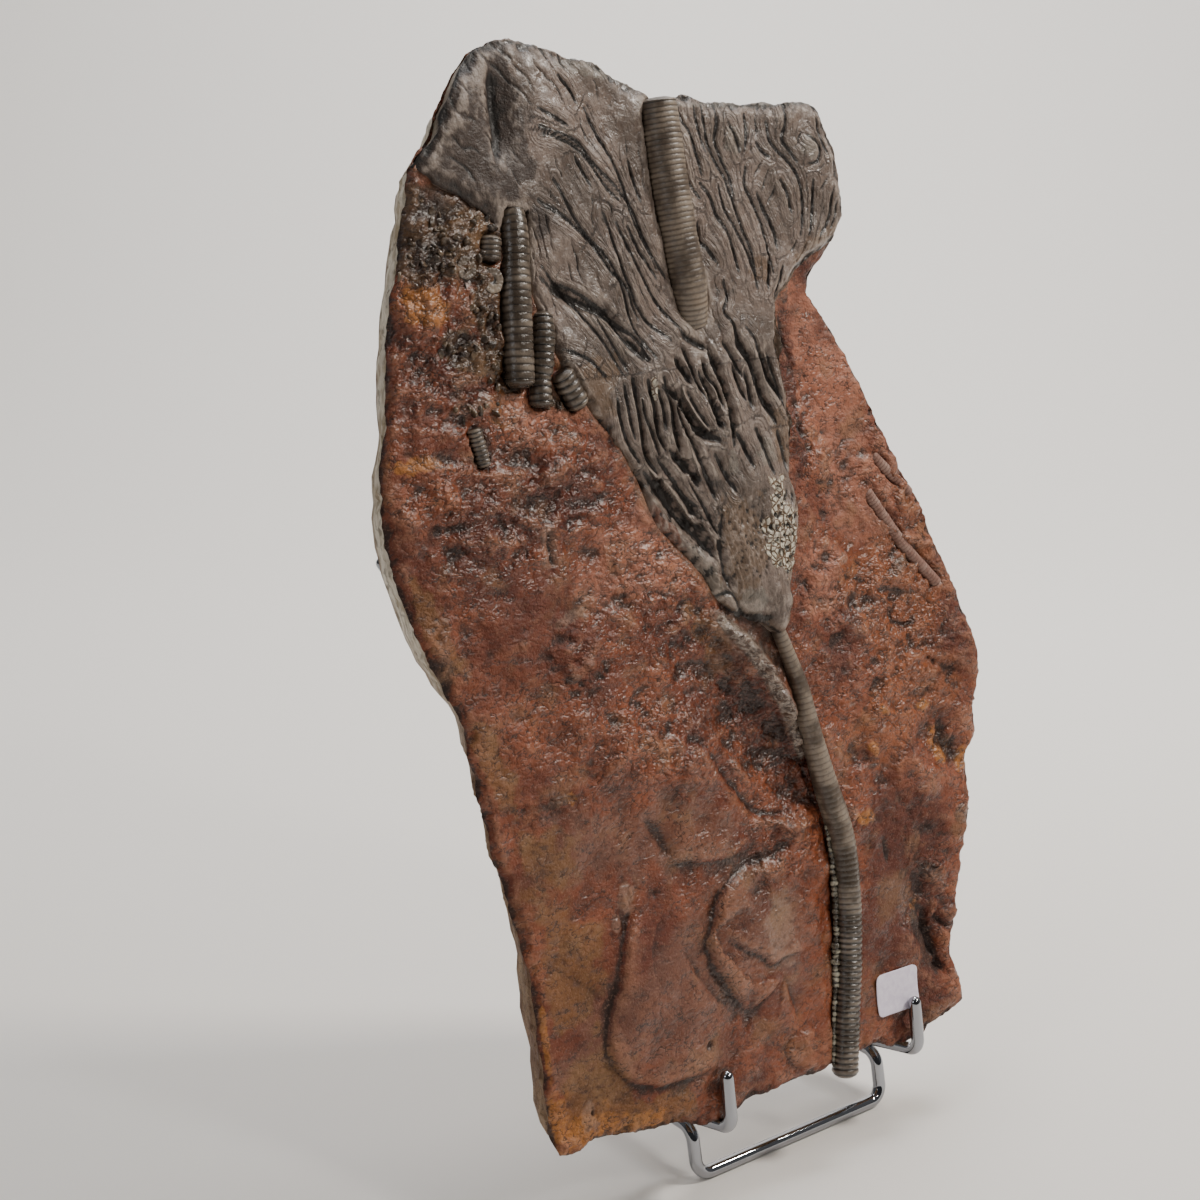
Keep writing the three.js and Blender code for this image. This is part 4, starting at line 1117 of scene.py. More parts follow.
# %% [markdown]
# A finish is a material with one shader. Constants are set on the shader's own sockets. Colours are written
# as they look on a screen, from 0 to 255, and turned into the linear values that light is worked out in.

# %% Finishes
def colour(red, green, blue):
    linear = [((c / 255 + 0.055) / 1.055) ** 2.4 if c > 10 else c / 3294.6 for c in (red, green, blue)]
    return (*linear, 1.0)


class Finish(Graph):
    def __init__(self, name, **constants):
        self.material = bpy.data.materials.new(name)
        self.material.use_nodes = True
        super().__init__(self.material.node_tree)
        self.shader = self.tree.nodes["Principled BSDF"]
        for socket, value in constants.items():
            self.shader.inputs[socket.replace("_", " ")].default_value = value
        self.place = self.node("ShaderNodeTexCoord", output="Object")

    def feed(self, socket, value):
        self.tree.links.new(value.output, self.shader.inputs[socket])

    def grain(self, size, seed, detail=3.0, stretch=None):
        """Noise with grains of the given size in millimetres."""
        place = self.place
        if stretch:
            place = self.node("ShaderNodeMapping", inputs={"Vector": place, "Scale": stretch})
        return self.node("ShaderNodeTexNoise", {"noise_dimensions": "4D"},
                         {"Vector": place, "W": seed, "Scale": 1000 / size, "Detail": detail})

    def plates(self, size):
        """Distance to the nearest seam of a crackled surface, as a share of a plate's size."""
        return self.node("ShaderNodeTexVoronoi", {"feature": "DISTANCE_TO_EDGE"},
                         {"Vector": self.place, "Scale": 1000 / size}, output="Distance")

    def mask(self, name):
        return self.node("ShaderNodeAttribute", {"attribute_name": name}, output="Fac")

    def mix(self, base, over, amount):
        """Two colours mixed. Each is a socket, or a colour as it looks on a screen."""
        base, over = (shade if isinstance(shade, Socket) else colour(*shade) for shade in (base, over))
        return self.node("ShaderNodeMix", {"data_type": "RGBA", "clamp_factor": True},
                         {0: amount, 6: base, 7: over}, output=2)

    def over(self, base, shade, value, low, high, amount=None):
        """Lays a shade over the base, more and more as a value goes from low to high."""
        share = self.ease(value, low, high)
        return self.mix(base, shade, share if amount is None else share * amount)

    def bump(self, height, distance, under=None):
        """Fine relief of the given height in millimetres, on top of any relief under it."""
        inputs = {"Strength": 1.0, "Distance": distance * MM, "Height": height}
        if under:
            inputs["Normal"] = under
        return self.node("ShaderNodeBump", inputs=inputs)


def put(piece, node, finish):
    """Hangs a piece on the frame: its material, its body and the solid it stands for, which it hides."""
    piece.data.materials.clear()
    piece.data.materials.append(finish.material)
    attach(piece, "root")
    if node:
        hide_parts(node)
    return piece


print("a mid grey:", colour(128, 128, 128))

# %% [markdown]
# The red mudstone changes colour from place to place: ochre where iron has gathered, purple-brown on the
# smooth lobes, pinkish beside the crown. Each such tint is a mask on the mesh, drawn as ragged spots.
# Painting an image would need a picture file; spots need only a middle, two half sizes and a turn.

# %% Spots of colour on the slab
TINTS = {
    "ochre": [((-134, 298), (11, 7), -12), ((-107, 13), (14, 8), 0), ((-84, 9), (10, 4), 6),
        ((-142, 247), (10, 3), 0), ((-104, 12), (12, 6), -6), ((35, 92), (5, 3), 0), ((79, 111), (5, 8), 30),
        ((51, 130), (3, 1.6), -35), ((43, 117), (2.4, 3.4), 20), ((56, 52), (2, 2), 0),
        ((-99, 129), (2.4, 2), 0), ((-83, 274), (2, 2.4), 0), ((-120, 22), (6, 9), 0),
        ((-121, 50), (1.4, 16), 0), ((-112, 322), (9, 5), 0), ((90, 104), (5, 4), 0), ((72, 128), (3, 2), 0)],
    "purple": [((-60, 48), (32, 30), 6), ((-30, 70), (14, 26), 18), ((-100, 112), (20, 14), -8),
        ((-60, 108), (34, 13), -8), ((-10, 60), (12, 14), 0), ((-115, 37), (6, 6), 0),
        ((44, 168), (8, 8), 0), ((-95, 40), (16, 20), 0)],
    "olive": [((-104, 24), (18, 14), 0), ((-78, 10), (22, 7), 6), ((-107, 72), (12, 24), 0),
        ((-112, 110), (10, 12), 0), ((-128, 146), (5, 18), 20), ((-144, 196), (5, 16), 20),
        ((-28, 168), (6, 20), 35), ((-105, 262), (10, 6), 0)],
    "pink": [((36, 258), (17, 42), 18), ((50, 216), (18, 24), 30), ((-96, 262), (14, 14), 0),
        ((-60, 205), (26, 16), 0), ((26, 186), (10, 16), 0)],
    "orange": [((64, 176), (28, 26), 20), ((70, 140), (26, 20), 0), ((50, 124), (18, 16), 0)],
    # deep: partly painted shadow beside the crown and in the hollow left of the stem, partly deep red stone
    "deep": [((50, 58), (26, 52), -8), ((-9, 138), (13, 34), 34), ((-92, 228), (24, 10), 20),
        ((-124, 216), (12, 20), 0), ((38, 303), (10, 8), 20), ((19, 268), (5, 26), 0),
        ((21, 238), (4, 14), 0), ((-122, 275), (14, 10), 0), ((-38, 216), (10, 18), 35)],
    # pale: partly painted glints, as on the lobe's tip, partly pale stone
    "pale": [((-107, 19), (3, 5), 0), ((-81, 90), (3, 6), 0), ((-13, 60), (7, 11), 0),
        ((38, 191), (2.4, 2), 0), ((-86, 82), (2, 3), 0), ((-120, 263), (8, 3), 0),
        ((29, 95), (2.6, 2.6), 0), ((53, 95), (2, 1.6), 0), ((-96, 214), (3, 8), 0),
        ((-90, 190), (6, 2), 20), ((-24, 174), (3, 12), 32), ((3, 136), (2, 8), 25)],
    "dark": [((-107, 128.5), (6, 1.4), 0), ((-92, 169), (4, 2), 0), ((44, 77), (1.4, 4.5), 0),
        ((52, 66), (2.4, 2), 0), ((66, 63), (7, 3), -14), ((67, 184), (5, 3), 20), ((82, 113), (2.6, 5), 38),
        ((88, 82), (4.5, 3.5), 20), ((-102, 316), (4, 9), 0), ((-128, 312), (9, 5), 0),
        ((-126, 328), (9, 5), 0), ((60, 36), (4, 15), 15), ((-118, 250), (4, 7), 0),
        ((-146, 176), (5, 14), -20), ((42, 110.5), (4, 1), 0)],
}
SHEEN = [  # where the varnish lies thick: middle, half sizes, turn
    ((-40, 150), (50, 50), -20), ((-10, 90), (40, 60), 0), ((-120, 290), (34, 34), 0),
    ((-100, 225), (36, 24), 0), ((-81, 88), (5, 9), 0), ((62, 165), (24, 40), 15),
]


def tint_masks(tints, u, v, seed, soft):
    return {name: spots(areas, u, v, seed + 11 * number, soft)
            for number, (name, areas) in enumerate(tints.items())}


print("tints of the slab:", ", ".join(TINTS))

# %% [markdown]
# The colour gets painted shade in the low places and a painted highlight on the high ones, so the mesh also
# carries how far each point lies over its surroundings: its height less the average height around it, once
# near by and once farther off.

# %% Masks of the slab
CRUST_SHEET = 0.62  # the sheet beside the stem is this much of the crust's strength
VARNISH_EVERYWHERE = 0.45


def softened(values, reach):
    """The average over a square of grid places, by running sums."""
    size = 2 * reach + 1
    for axis in (0, 1):
        pad = [(0, 0), (0, 0)]
        pad[axis] = (reach + 1, reach)
        total = np.cumsum(np.pad(values, pad, mode="edge"), axis=axis)
        far = np.take(total, range(size, total.shape[axis]), axis=axis)
        near = np.take(total, range(0, total.shape[axis] - size), axis=axis)
        values = (far - near) / size
    return values


def relief_mask(w, *scales):
    """From low (below 0) to high (over 0). A scale is a reach, the height that counts in full, a share."""
    return sum(np.clip((w - softened(w, reach)) / full, -1, 1) * share for reach, full, share in scales)


def crust_mask(u, v):
    apart, width, rise, _ = ridges.near(u, v)
    border = np.exp(-(apart / (1.5 * width)) ** 4) * step(0.2, 0.6, rise)
    stem_u = np.interp(v, *np.array(MAIN_STEM["path"])[::-1, 1::-1].T)
    sheet = step(-2, 0, apart) * step(18, 15, apart) * (u < stem_u) * step(122, 130, v) * step(184, 181, v)
    return np.maximum(border, CRUST_SHEET * sheet)


def slab_masks(u, v, w):
    su, sv = as_seen(u, v, w)
    masks = tint_masks(TINTS, su, sv, seed=301, soft=0.6)
    masks["debris"] = debris_mask(su, sv)
    masks["crust"] = crust_mask(su, sv)
    # painted shade in the low places and at the ledges' feet, painted highlight on the high places and the
    # ledges' rims
    masks["relief"] = relief_mask(w, (2, 0.6, 0.42), (9, 1.5, 0.66)) + ledge_shading(su, sv)
    masks["rough"] = roughness(su, sv)
    # painted shade on the stone along the crown's edge, joined to the dark spots
    masks["dark"] = np.maximum(masks["dark"], 0.75 * bell(inner_edge.near(u, v)[0], 2.2))
    masks["varnish"] = VARNISH_EVERYWHERE + (1 - VARNISH_EVERYWHERE) * covered(SHEEN, u, v, edge=2)
    return masks


slab_tints = slab_masks(slab_u, slab_v, slab_w)
print("slab masks:", {name: round(float(mask.mean()), 3) for name, mask in slab_tints.items()})

# %% [markdown]
# The face of the red stone. Grains of several sizes give it patches, flecks and wrinkles. The colour starts
# from two reds and takes on one thing after another: the tints, painted shade in the low places, a painted
# highlight on the high ones, the grey crust and painted shade in fine creases. Mix nodes do this, because
# each shade must stay a colour.

# %% Colour of the red stone
STONE_TINTS = [  # mask, shade, amount
    # deep is partly painted shadow, pale partly painted glints, dark partly painted shade along the crown's
    # edge
    ("purple", (106, 74, 60), 0.6), ("olive", (120, 84, 44), 0.62), ("pink", (168, 108, 84), 0.7),
    ("orange", (146, 84, 48), 0.65), ("deep", (82, 32, 14), 0.85), ("ochre", (170, 108, 46), 0.85),
    ("pale", (158, 132, 114), 0.4), ("debris", (76, 57, 36), 0.92), ("dark", (50, 40, 34), 0.8),
]
stone = Finish("red_stone", Coat_Roughness=0.2, Specular_IOR_Level=0.5)
patches = stone.grain(26, seed=1.0, detail=5.0)
flecks = stone.grain(5, seed=2.0, detail=4.0, stretch=(0.8, 1.0, 1.3))
wrinkles = stone.grain(2.0, seed=5.0, detail=4.0, stretch=(0.8, 1.0, 1.2))
creases = (stone.grain(3.4, seed=9.0, detail=2.0, stretch=(0.8, 1.0, 1.15)) - 0.5).math("ABSOLUTE")
crease_shade = 1.0 - stone.ease(creases, 0.0, 0.03)
hue = stone.grain(14, seed=6.0, detail=6.0)
sand = stone.grain(0.8, seed=3.0)
relief_shading, crust = stone.mask("relief"), stone.mask("crust")
away_from_debris = 1.0 - stone.mask("debris") * 0.8

face = stone.over((95, 42, 23), (134, 71, 42), patches, 0.36, 0.64)
for name, shade, amount in STONE_TINTS:
    tint = stone.mask(name)
    ragged = tint + (flecks - 0.5) * 0.9 + (hue - 0.5) * 1.2
    face = stone.mix(face, shade, stone.ease(ragged, 0.25, 0.8) * stone.ease(tint, 0.0, 0.1) * amount)
for shade, grain, low, high, amount in (((136, 104, 72), hue, 0.53, 0.68, 0.4),
                                        ((74, 34, 20), hue, 0.48, 0.32, 0.5),
                                        ((62, 28, 18), flecks, 0.52, 0.68, 0.45)):
    face = stone.over(face, shade, grain, low, high, amount)
# painted shade: darker in the low places
face = stone.over(face, (34, 18, 12), relief_shading * -1.0, 0.06, 0.9, 0.88)
# painted highlight: lighter on the high places, less so among the broken bits
face = stone.mix(face, (180, 128, 98), stone.ease(relief_shading, 0.1, 1.0) * away_from_debris * 0.32)
crust_crests = stone.ease(wrinkles, 0.42, 0.56) * stone.ease(crust, 0.6, 1.0)
crust_shade = stone.mix((88, 76, 66), (164, 154, 142), crust_crests)
face = stone.over(face, crust_shade, crust + (flecks - 0.5) * 0.8, 0.3, 0.9, 0.85)
face = stone.over(face, (48, 24, 18), wrinkles, 0.52, 0.68, 0.5)
# painted shade in the fine creases, where the bump's valleys lie
creased = stone.ease(patches + flecks + stone.mask("rough") * 0.12, 0.94, 1.1)
face = stone.mix(face, (36, 18, 12), crease_shade * creased * 0.85)
face = stone.mix(face, (188, 142, 116), stone.ease(sand, 0.46, 0.32) * away_from_debris * 0.2)
print("nodes for the face's colour:", len(stone.tree.nodes))

# %% [markdown]
# The sides and the back are raw breaks: chalky and crackled at the lower left, earthy elsewhere. Varnish was
# brushed on the face alone, so the face alone is partly wet, and its gloss differs from patch to patch.

# %% Broken sides, varnish and relief of the red stone
side = stone.mask("side")
cracks = (stone.grain(6, seed=4.0, detail=5.0) * 0.45
          + stone.grain(6, seed=10.0, detail=4.0, stretch=(0.35, 2.6, 0.45)) * 0.55)
chalk = stone.over((236, 226, 208), (170, 152, 124), cracks, 0.42, 0.62)
chalk = stone.over(chalk, (112, 98, 74), flecks, 0.54, 0.66, 0.7)
earth = stone.over((160, 132, 100), (118, 88, 64), cracks, 0.36, 0.62)
earth = stone.over(earth, (104, 66, 48), patches + (hue - 0.5) * 0.7, 0.44, 0.64, 0.5)
# painted shade in the creases on the broken sides too
earth = stone.mix(earth, (70, 48, 36), crease_shade * 0.55)
stone.feed("Base Color", stone.over(face, stone.mix(earth, chalk, stone.mask("chalk")), side, 0.02, 0.3))

wet = (stone.ease(stone.mask("varnish") + (patches + flecks - 1.0) * 1.3, 0.42, 0.72)
       * (1.0 - stone.ease(side, 0.0, 0.15)))
stone.feed("Coat Weight", wet * 0.1)
stone.feed("Roughness", 0.7 - wet * 0.35 + (sand - 0.5) * 0.1)

broken = stone.mask("rough") * 0.85 + 0.4
worn = stone.bump(stone.grain(6, seed=8.0, detail=2.0, stretch=(0.8, 1.0, 1.2)) * broken, 3.2)
worn = stone.bump(creases * broken, 2.6, worn)
worn = stone.bump(cracks * side, 6.0, worn)
stone.feed("Normal", stone.bump(sand * (1.0 - wet * 0.5), 0.5, worn))

slab_body.masks.update({name: mask.ravel() for name, mask in slab_tints.items()})
put(slab_body.make("red_slab"), "matrix_slab", stone)
print("slab triangles:", sum(len(f) - 2 for f in slab_body.faces), "stone nodes:", len(stone.tree.nodes))

# %% [markdown]
# The crown is the same stone all through, but dark grey and finer, with a satin varnish. Besides its tints
# and its relief, its mesh says how far across and along its arm each point lies, for the fibres of the arms.

# %% Masks of the crown
CROWN_TINTS = {
    "skin": [((-112, 346), (26, 24), 0), ((-102, 328), (18, 12), -30), ((-100, 366), (12, 18), 0)],
    "earth": [((-46, 212), (4, 14), 35)],
    "brown": [((-12, 205), (10, 18), 0), ((-72, 262), (16, 9), 40), ((-100, 322), (16, 8), -30),
        ((-34, 192), (8, 14), 35), ((-112, 350), (14, 16), 0), ((40, 306), (14, 5), 25),
        ((10, 300), (5, 4), 0), ((12, 240), (5, 10), 0)],
    "crystal": [((8, 206), (9, 17), 0), ((-44, 262), (2, 4), 0)],
    # pale: partly a painted highlight on lit patches of the cup, partly the fossil's own pale spots
    "pale": [((4, 345), (4, 5), 0), ((40, 342), (4, 4), 0), ((-60, 371), (12, 2.4), -12),
        ((10, 358.5), (34, 1.2), 0), ((-23, 359), (3, 2), 0), ((-10, 182), (8, 5), 0),
        ((-31, 196), (5, 11), 30), ((4, 234), (5, 4), -40), ((-12, 232), (2.4, 4), 0)],
}
ARM_BASES_TO = 268  # below this the wide furrows say where an arm lies


def arm_place(u, v):
    """Where a point lies across and along its arm, in millimetres, and how fibrous the arm is there."""
    su, sv = as_seen(u, v, crown_broad(u, v))
    across, _, _, along = fan_furrows.near(su, sv)
    deep, _, _, deep_along = deep_furrows.near(su, sv)
    low_part = sv < ARM_BASES_TO
    across, along = np.where(low_part, deep, across), np.where(low_part, deep_along, along)
    return across, along, step(-92, -84, su) * step(205, 215, sv) * step(7, 3, abs(across))


def crown_masks(u, v, w):
    masks = dict(zip(("across_arm", "along_arm", "fibre"), arm_place(u, v)))
    masks.update(tint_masks(CROWN_TINTS, *as_seen(u, v, w), seed=401, soft=0.25))
    masks["brown"] = np.maximum(masks["brown"], 0.8 * bell(inner_edge.near(u, v)[0], 3))
    # painted shade in the low places and nearly black in the furrows between the arms, painted highlight on
    # the high ones
    furrow_shade = 0.9 * bell(masks["across_arm"], 0.55) * step(0, 1, masks["along_arm"])
    masks["relief"] = relief_mask(w, (2, 0.3, 0.5), (7, 1.0, 0.6)) - furrow_shade
    return masks


crown_tints = crown_masks(crown_u, crown_v, crown_w)
print("crown masks:", {name: round(float(mask.mean()), 3) for name, mask in crown_tints.items()})

# %% [markdown]
# Painted shade makes the furrows of the dark fossil nearly black, and a painted highlight lightens the backs
# of its arms. The golden crystals on the cup are crackled into plates. Each arm is fibrous along its length:
# a noise that reads the place across and along the arm is drawn out lengthwise, whichever way the arm turns.

# %% Dark fossil
fossil = Finish("dark_fossil", Coat_Roughness=0.2, Specular_IOR_Level=0.55)
blotch = fossil.grain(16, seed=11.0, detail=5.0)
speckle = fossil.grain(3.2, seed=12.0, detail=4.0)
dust = fossil.grain(0.8, seed=13.0)
arm_shading, skin, rim_side = fossil.mask("relief"), fossil.mask("skin"), fossil.mask("side")
crystal = fossil.mask("crystal")

dark = fossil.over((94, 81, 72), (126, 110, 100), blotch, 0.38, 0.64)
# the pale shade is partly a painted highlight
for name, shade, loose, low, high, amount in (("brown", (108, 86, 66), 0.9, 0.25, 0.8, 0.7),
                                              ("skin", (52, 39, 32), 0.7, 0.1, 0.6, 0.92),
                                              ("earth", (112, 72, 56), 0.9, 0.3, 0.8, 0.8),
                                              ("pale", (128, 122, 112), 0.9, 0.3, 0.8, 0.5)):
    dark = fossil.over(dark, shade, fossil.mask(name) + (speckle - 0.5) * loose, low, high, amount)
plates = fossil.ease(fossil.plates(2.4), 0.03, 0.16)
gold = fossil.over((150, 108, 56), (232, 224, 204), crystal + (speckle - 0.5) * 1.4, 0.4, 0.85)
crystals = fossil.ease(crystal * 0.9 + (speckle - 0.5) * 1.2, 0.35, 0.8)
dark = fossil.mix(dark, fossil.mix((104, 74, 40), gold, plates), crystals * 0.85)
# painted shade in the furrows and low places
dark = fossil.over(dark, (22, 18, 16), arm_shading * -1.0, 0.02, 0.75, 0.92)
# painted highlight on the backs of the arms
dark = fossil.over(dark, (168, 154, 142), arm_shading, 0.1, 0.9, 0.6)
dark = fossil.over(dark, (50, 42, 37), dust, 0.53, 0.72, 0.35)
fossil.feed("Base Color", fossil.over(dark, (168, 156, 138), rim_side, 0.1, 0.6))

satin = fossil.ease(speckle, 0.35, 0.6) * (1.0 - rim_side) * (1.0 - skin * 0.5)
fossil.feed("Coat Weight", satin * 0.1)
fossil.feed("Roughness", 0.66 - satin * 0.36)

arm = fossil.node("ShaderNodeCombineXYZ", inputs={
    0: fossil.mask("across_arm"), 1: fossil.mask("along_arm") * 0.2})
strands = fossil.node("ShaderNodeTexNoise", inputs={"Vector": arm, "Scale": 1.0, "Detail": 2.0})
under = fossil.bump(plates * crystals, 0.5, fossil.bump(fossil.grain(2.6, seed=15.0, detail=1.0), 0.4))
under = fossil.bump(dust * (1.0 - satin * 0.5), 0.5, under)
fossil.feed("Normal", fossil.bump(strands * fossil.mask("fibre"), 1.1, under))

crown_body.masks.update({name: mask.ravel() for name, mask in crown_tints.items()})
put(crown_body.make("crown_of_arms"), "crown", fossil)
print("crown triangles:", sum(len(f) - 2 for f in crown_body.faces), "fossil nodes:", len(fossil.tree.nodes))

# %% [markdown]
# ## Stems
#
# A stem is a pile of thin discs. It follows a path and repeats, which is what Geometry Nodes is for. A tree
# gets a line of points with a radius each, and some named inputs. Its result is turned into a plain mesh.

# %% Geometry Nodes helper
def line_object(points, radii, closed=False):
    """A line of points in metres with a radius at each, for a tree to work on."""
    count = len(points)
    mesh = bpy.data.meshes.new("line")
    edges = [(i, (i + 1) % count) for i in range(count if closed else count - 1)]
    mesh.from_pydata(points.tolist(), edges, [])
    layer = mesh.attributes.new("thickness", "FLOAT", "POINT")
    layer.data.foreach_set("value", np.asarray(radii, np.float32))
    return add_object("line", mesh)


class Recipe(Graph):
    """A Geometry Nodes tree with named inputs. make() turns its result into a plain mesh object."""

    def __init__(self, name, **defaults):
        super().__init__(bpy.data.node_groups.new(name, "GeometryNodeTree"))
        face = self.tree.interface
        face.new_socket("Line", in_out="INPUT", socket_type="NodeSocketGeometry")
        for label, value in defaults.items():
            face.new_socket(label, in_out="INPUT", socket_type="NodeSocketFloat").default_value = value
        face.new_socket("Finish", in_out="INPUT", socket_type="NodeSocketMaterial")
        face.new_socket("Piece", in_out="OUTPUT", socket_type="NodeSocketGeometry")
        self.given = self.tree.nodes.new("NodeGroupInput")

    def input(self, label):
        return Socket(self, self.given.outputs[label])

    def end(self, geometry):
        real = self.node("GeometryNodeRealizeInstances", inputs={0: geometry})
        smooth = self.node("GeometryNodeSetShadeSmooth", inputs={0: real})
        done = self.node("GeometryNodeSetMaterial", inputs={0: smooth, 2: self.input("Finish")})
        out = self.tree.nodes.new("NodeGroupOutput")
        self.tree.links.new(done.output, out.inputs[0])

    def make(self, name, host, finish, **values):
        modifier = host.modifiers.new("recipe", "NODES")
        modifier.node_group = self.tree
        values["Finish"] = finish.material
        for item in self.tree.interface.items_tree:
            if item.in_out == "INPUT" and item.name in values:
                modifier[item.identifier] = values[item.name]
        graph = bpy.context.evaluated_depsgraph_get()
        mesh = bpy.data.meshes.new_from_object(host.evaluated_get(graph), depsgraph=graph)
        mesh.name = name
        host.modifiers.remove(modifier)
        bpy.data.objects.remove(host)
        return add_object(name, mesh)

    def sweep(self, line, sides, scale):
        """A closed tube along the line, whose radius is the line's thickness times the scale."""
        thickness = self.node("GeometryNodeInputNamedAttribute", {"data_type": "FLOAT"},
                              {"Name": "thickness"}, output="Attribute")
        circle = self.node("GeometryNodeCurvePrimitiveCircle", {"mode": "RADIUS"},
                           {"Resolution": sides, "Radius": 1.0})
        return self.node("GeometryNodeCurveToMesh", inputs={
            "Curve": line, "Profile Curve": circle, "Scale": scale(thickness), "Fill Caps": True})

    def place_along(self):
        """Length run so far and the distance to the nearer end, in metres."""
        length = self.node("GeometryNodeSplineParameter", output="Length")
        total = self.node("GeometryNodeSplineLength", output="Length")
        return length, length.math("MINIMUM", total - length)


print("a recipe's parts:", [name for name in vars(Recipe) if name[0] != "_"])

# %% [markdown]
# The stem's tree resamples the line finely, pinches it at every joint between two discs, and sweeps a circle
# along it. A lathe or an array of discs would not follow a bend. One tree makes all the stems; only its
# inputs differ: pitch and depth of the joints, how far the discs differ, and what is worn or dark.

# %% The stem recipe
POINTS_PER_DISC = 8.0
STEM_SIDES = 30


def stem_recipe():
    tree = Recipe("ringed_stem", Pitch=0.0024, Depth=0.1, Flatness=0.3, Uneven=0.03, Worn_Until=0.0,
                  Worn_Share=0.6, Dark_From=0.5, Darkness=0.0, Seed=1.0)
    pitch = tree.input("Pitch")
    line = tree.node("GeometryNodeMeshToCurve", inputs={0: tree.input("Line")})
    line = tree.node("GeometryNodeResampleCurve", {"mode": "LENGTH"}, {0: line, 3: pitch / POINTS_PER_DISC})
    factor = tree.node("GeometryNodeSplineParameter", output="Factor")
    length, nearest_end = tree.place_along()
    rings = length / pitch
    crest = (rings * math.pi).math("SINE").math("ABSOLUTE") ** tree.input("Flatness")
    change = tree.node("FunctionNodeRandomValue", {"data_type": "FLOAT"}, {
        "Min": -1.0, "Max": 1.0, "ID": rings.math("FLOOR"), "Seed": tree.input("Seed")}, output=1)
    worn = tree.input("Worn_Share") * (1.0 - tree.ease(factor - tree.input("Worn_Until"), -0.06, 0.06))
    closing = tree.ease(nearest_end / pitch, -0.3, 0.8) * 0.5 + 0.5
    fullness = ((1.0 - tree.input("Depth") * (1.0 - worn) * (1.0 - crest))
                + tree.input("Uneven") * change * (1.0 - worn))
    darkness = tree.input("Darkness") * tree.ease(factor - tree.input("Dark_From"), -0.04, 0.04)
    for name, value in (("crest", 1.0 - (1.0 - crest) * (1.0 - worn)), ("darkness", darkness)):
        line = tree.node("GeometryNodeStoreNamedAttribute", {"data_type": "FLOAT", "domain": "POINT"},
                         {"Geometry": line, "Name": name, "Value": value})
    tree.end(tree.sweep(line, STEM_SIDES, lambda thickness: thickness * fullness * closing))
    return tree


ringed = stem_recipe()
print("stem recipe nodes:", len(ringed.tree.nodes))

# %% [markdown]
# The stems are brown-grey with pale crests and black joints. The tree stores how high each point lies on its
# disc, and the finish reads it, so the colour follows the discs exactly. The two thin columns at the right
# are weathered to a faint pink and get a finish of their own.

# %% Stem finishes
def dark_joints(finish, base, shade, low, high, amount):
    return finish.mix(base, shade, (1.0 - finish.ease(finish.mask("crest"), low, high)) * amount)


stem = Finish("stem_fossil", Coat_Roughness=0.3, Specular_IOR_Level=0.6)
stem_patches = stem.grain(9, seed=21.0, detail=4.0)
stem_sand = stem.grain(0.8, seed=22.0)
stem_dark = stem.mask("darkness")
grey = stem.over((80, 68, 57), (114, 100, 85), stem_patches, 0.38, 0.64)
grey = stem.over(grey, (116, 92, 66), stem_patches, 0.60, 0.75, 0.6)
grey = stem.mix(grey, (66, 57, 48), stem_dark * 0.7)
crests = stem.ease(stem.mask("crest"), 0.8, 1.0) * stem.ease(stem_patches, 0.44, 0.6) * 0.45
grey = stem.mix(grey, (160, 146, 130), crests)
grey = dark_joints(stem, grey, (18, 14, 12), 0.35, 0.95, 0.92)
stem.feed("Base Color", stem.over(grey, (52, 46, 40), stem_sand, 0.54, 0.74, 0.4))
stem.feed("Coat Weight", stem.ease(stem_patches, 0.35, 0.6) * 0.2)
stem.feed("Roughness", 0.42 - stem_dark * 0.12 + (stem_patches - 0.5) * 0.4)
stem.feed("Normal", stem.bump(stem_sand, 0.16))

faint = Finish("faint_stem", Roughness=0.6, Specular_IOR_Level=0.3)
pink = faint.over((136, 102, 90), (158, 130, 118), faint.grain(5, seed=23.0, detail=4.0), 0.4, 0.62)
faint.feed("Base Color", dark_joints(faint, pink, (92, 60, 50), 0.3, 0.95, 0.6))
faint.feed("Normal", faint.bump(faint.grain(0.9, seed=24.0), 0.3))
print("stem nodes:", len(stem.tree.nodes), "faint stem nodes:", len(faint.tree.nodes))

# %% [markdown]
# Now every stem and column is a line with its own settings. A slow noise on its radius keeps it from looking
# turned on a lathe.

# %% The stems
STEM_SETTINGS = {  # pitch in mm, depth, unevenness, flatness, worn until, share, dark from, darkness
    "main_stem": (2.15, 0.17, 0.025, 0.4, 0.66, 0.7, 0.52, 1.0),
    "upper_column": (1.8, 0.055, 0.02, 0.35, 2.0, 0.3, 0.5, 0.0),
    "left_column": (2.4, 0.07, 0.02, 0.25, 2.0, 0.25, -1.0, 1.0),
    "short_column_1": (2.3, 0.13, 0.05, 0.35, 0.0, 0.0, -1.0, 0.9),
    "short_column_2": (2.4, 0.15, 0.04, 0.35, 0.0, 0.0, -1.0, 0.75),
    "short_column_3": (1.7, 0.12, 0.03, 0.35, 0.0, 0.0, -1.0, 0.4),
    "small_fragment": (1.5, 0.2, 0.08, 0.4, 0.0, 0.0, -1.0, 0.4),
    "thin_column_1": (1.45, 0.07, 0.03, 0.4, 0.0, 0.0, 0.5, 0.0),
    "thin_column_2": (1.45, 0.07, 0.03, 0.4, 0.0, 0.0, 0.5, 0.0),
}
SETTING_NAMES = ("Depth", "Uneven", "Flatness", "Worn_Until", "Worn_Share", "Dark_From", "Darkness")


def swelling(line, spacing, share, lump, seed):
    run = np.arange(len(line)) * spacing
    return line[:, 3] * (1 + share * noise(run, run * 0, lump, seed)) * MM


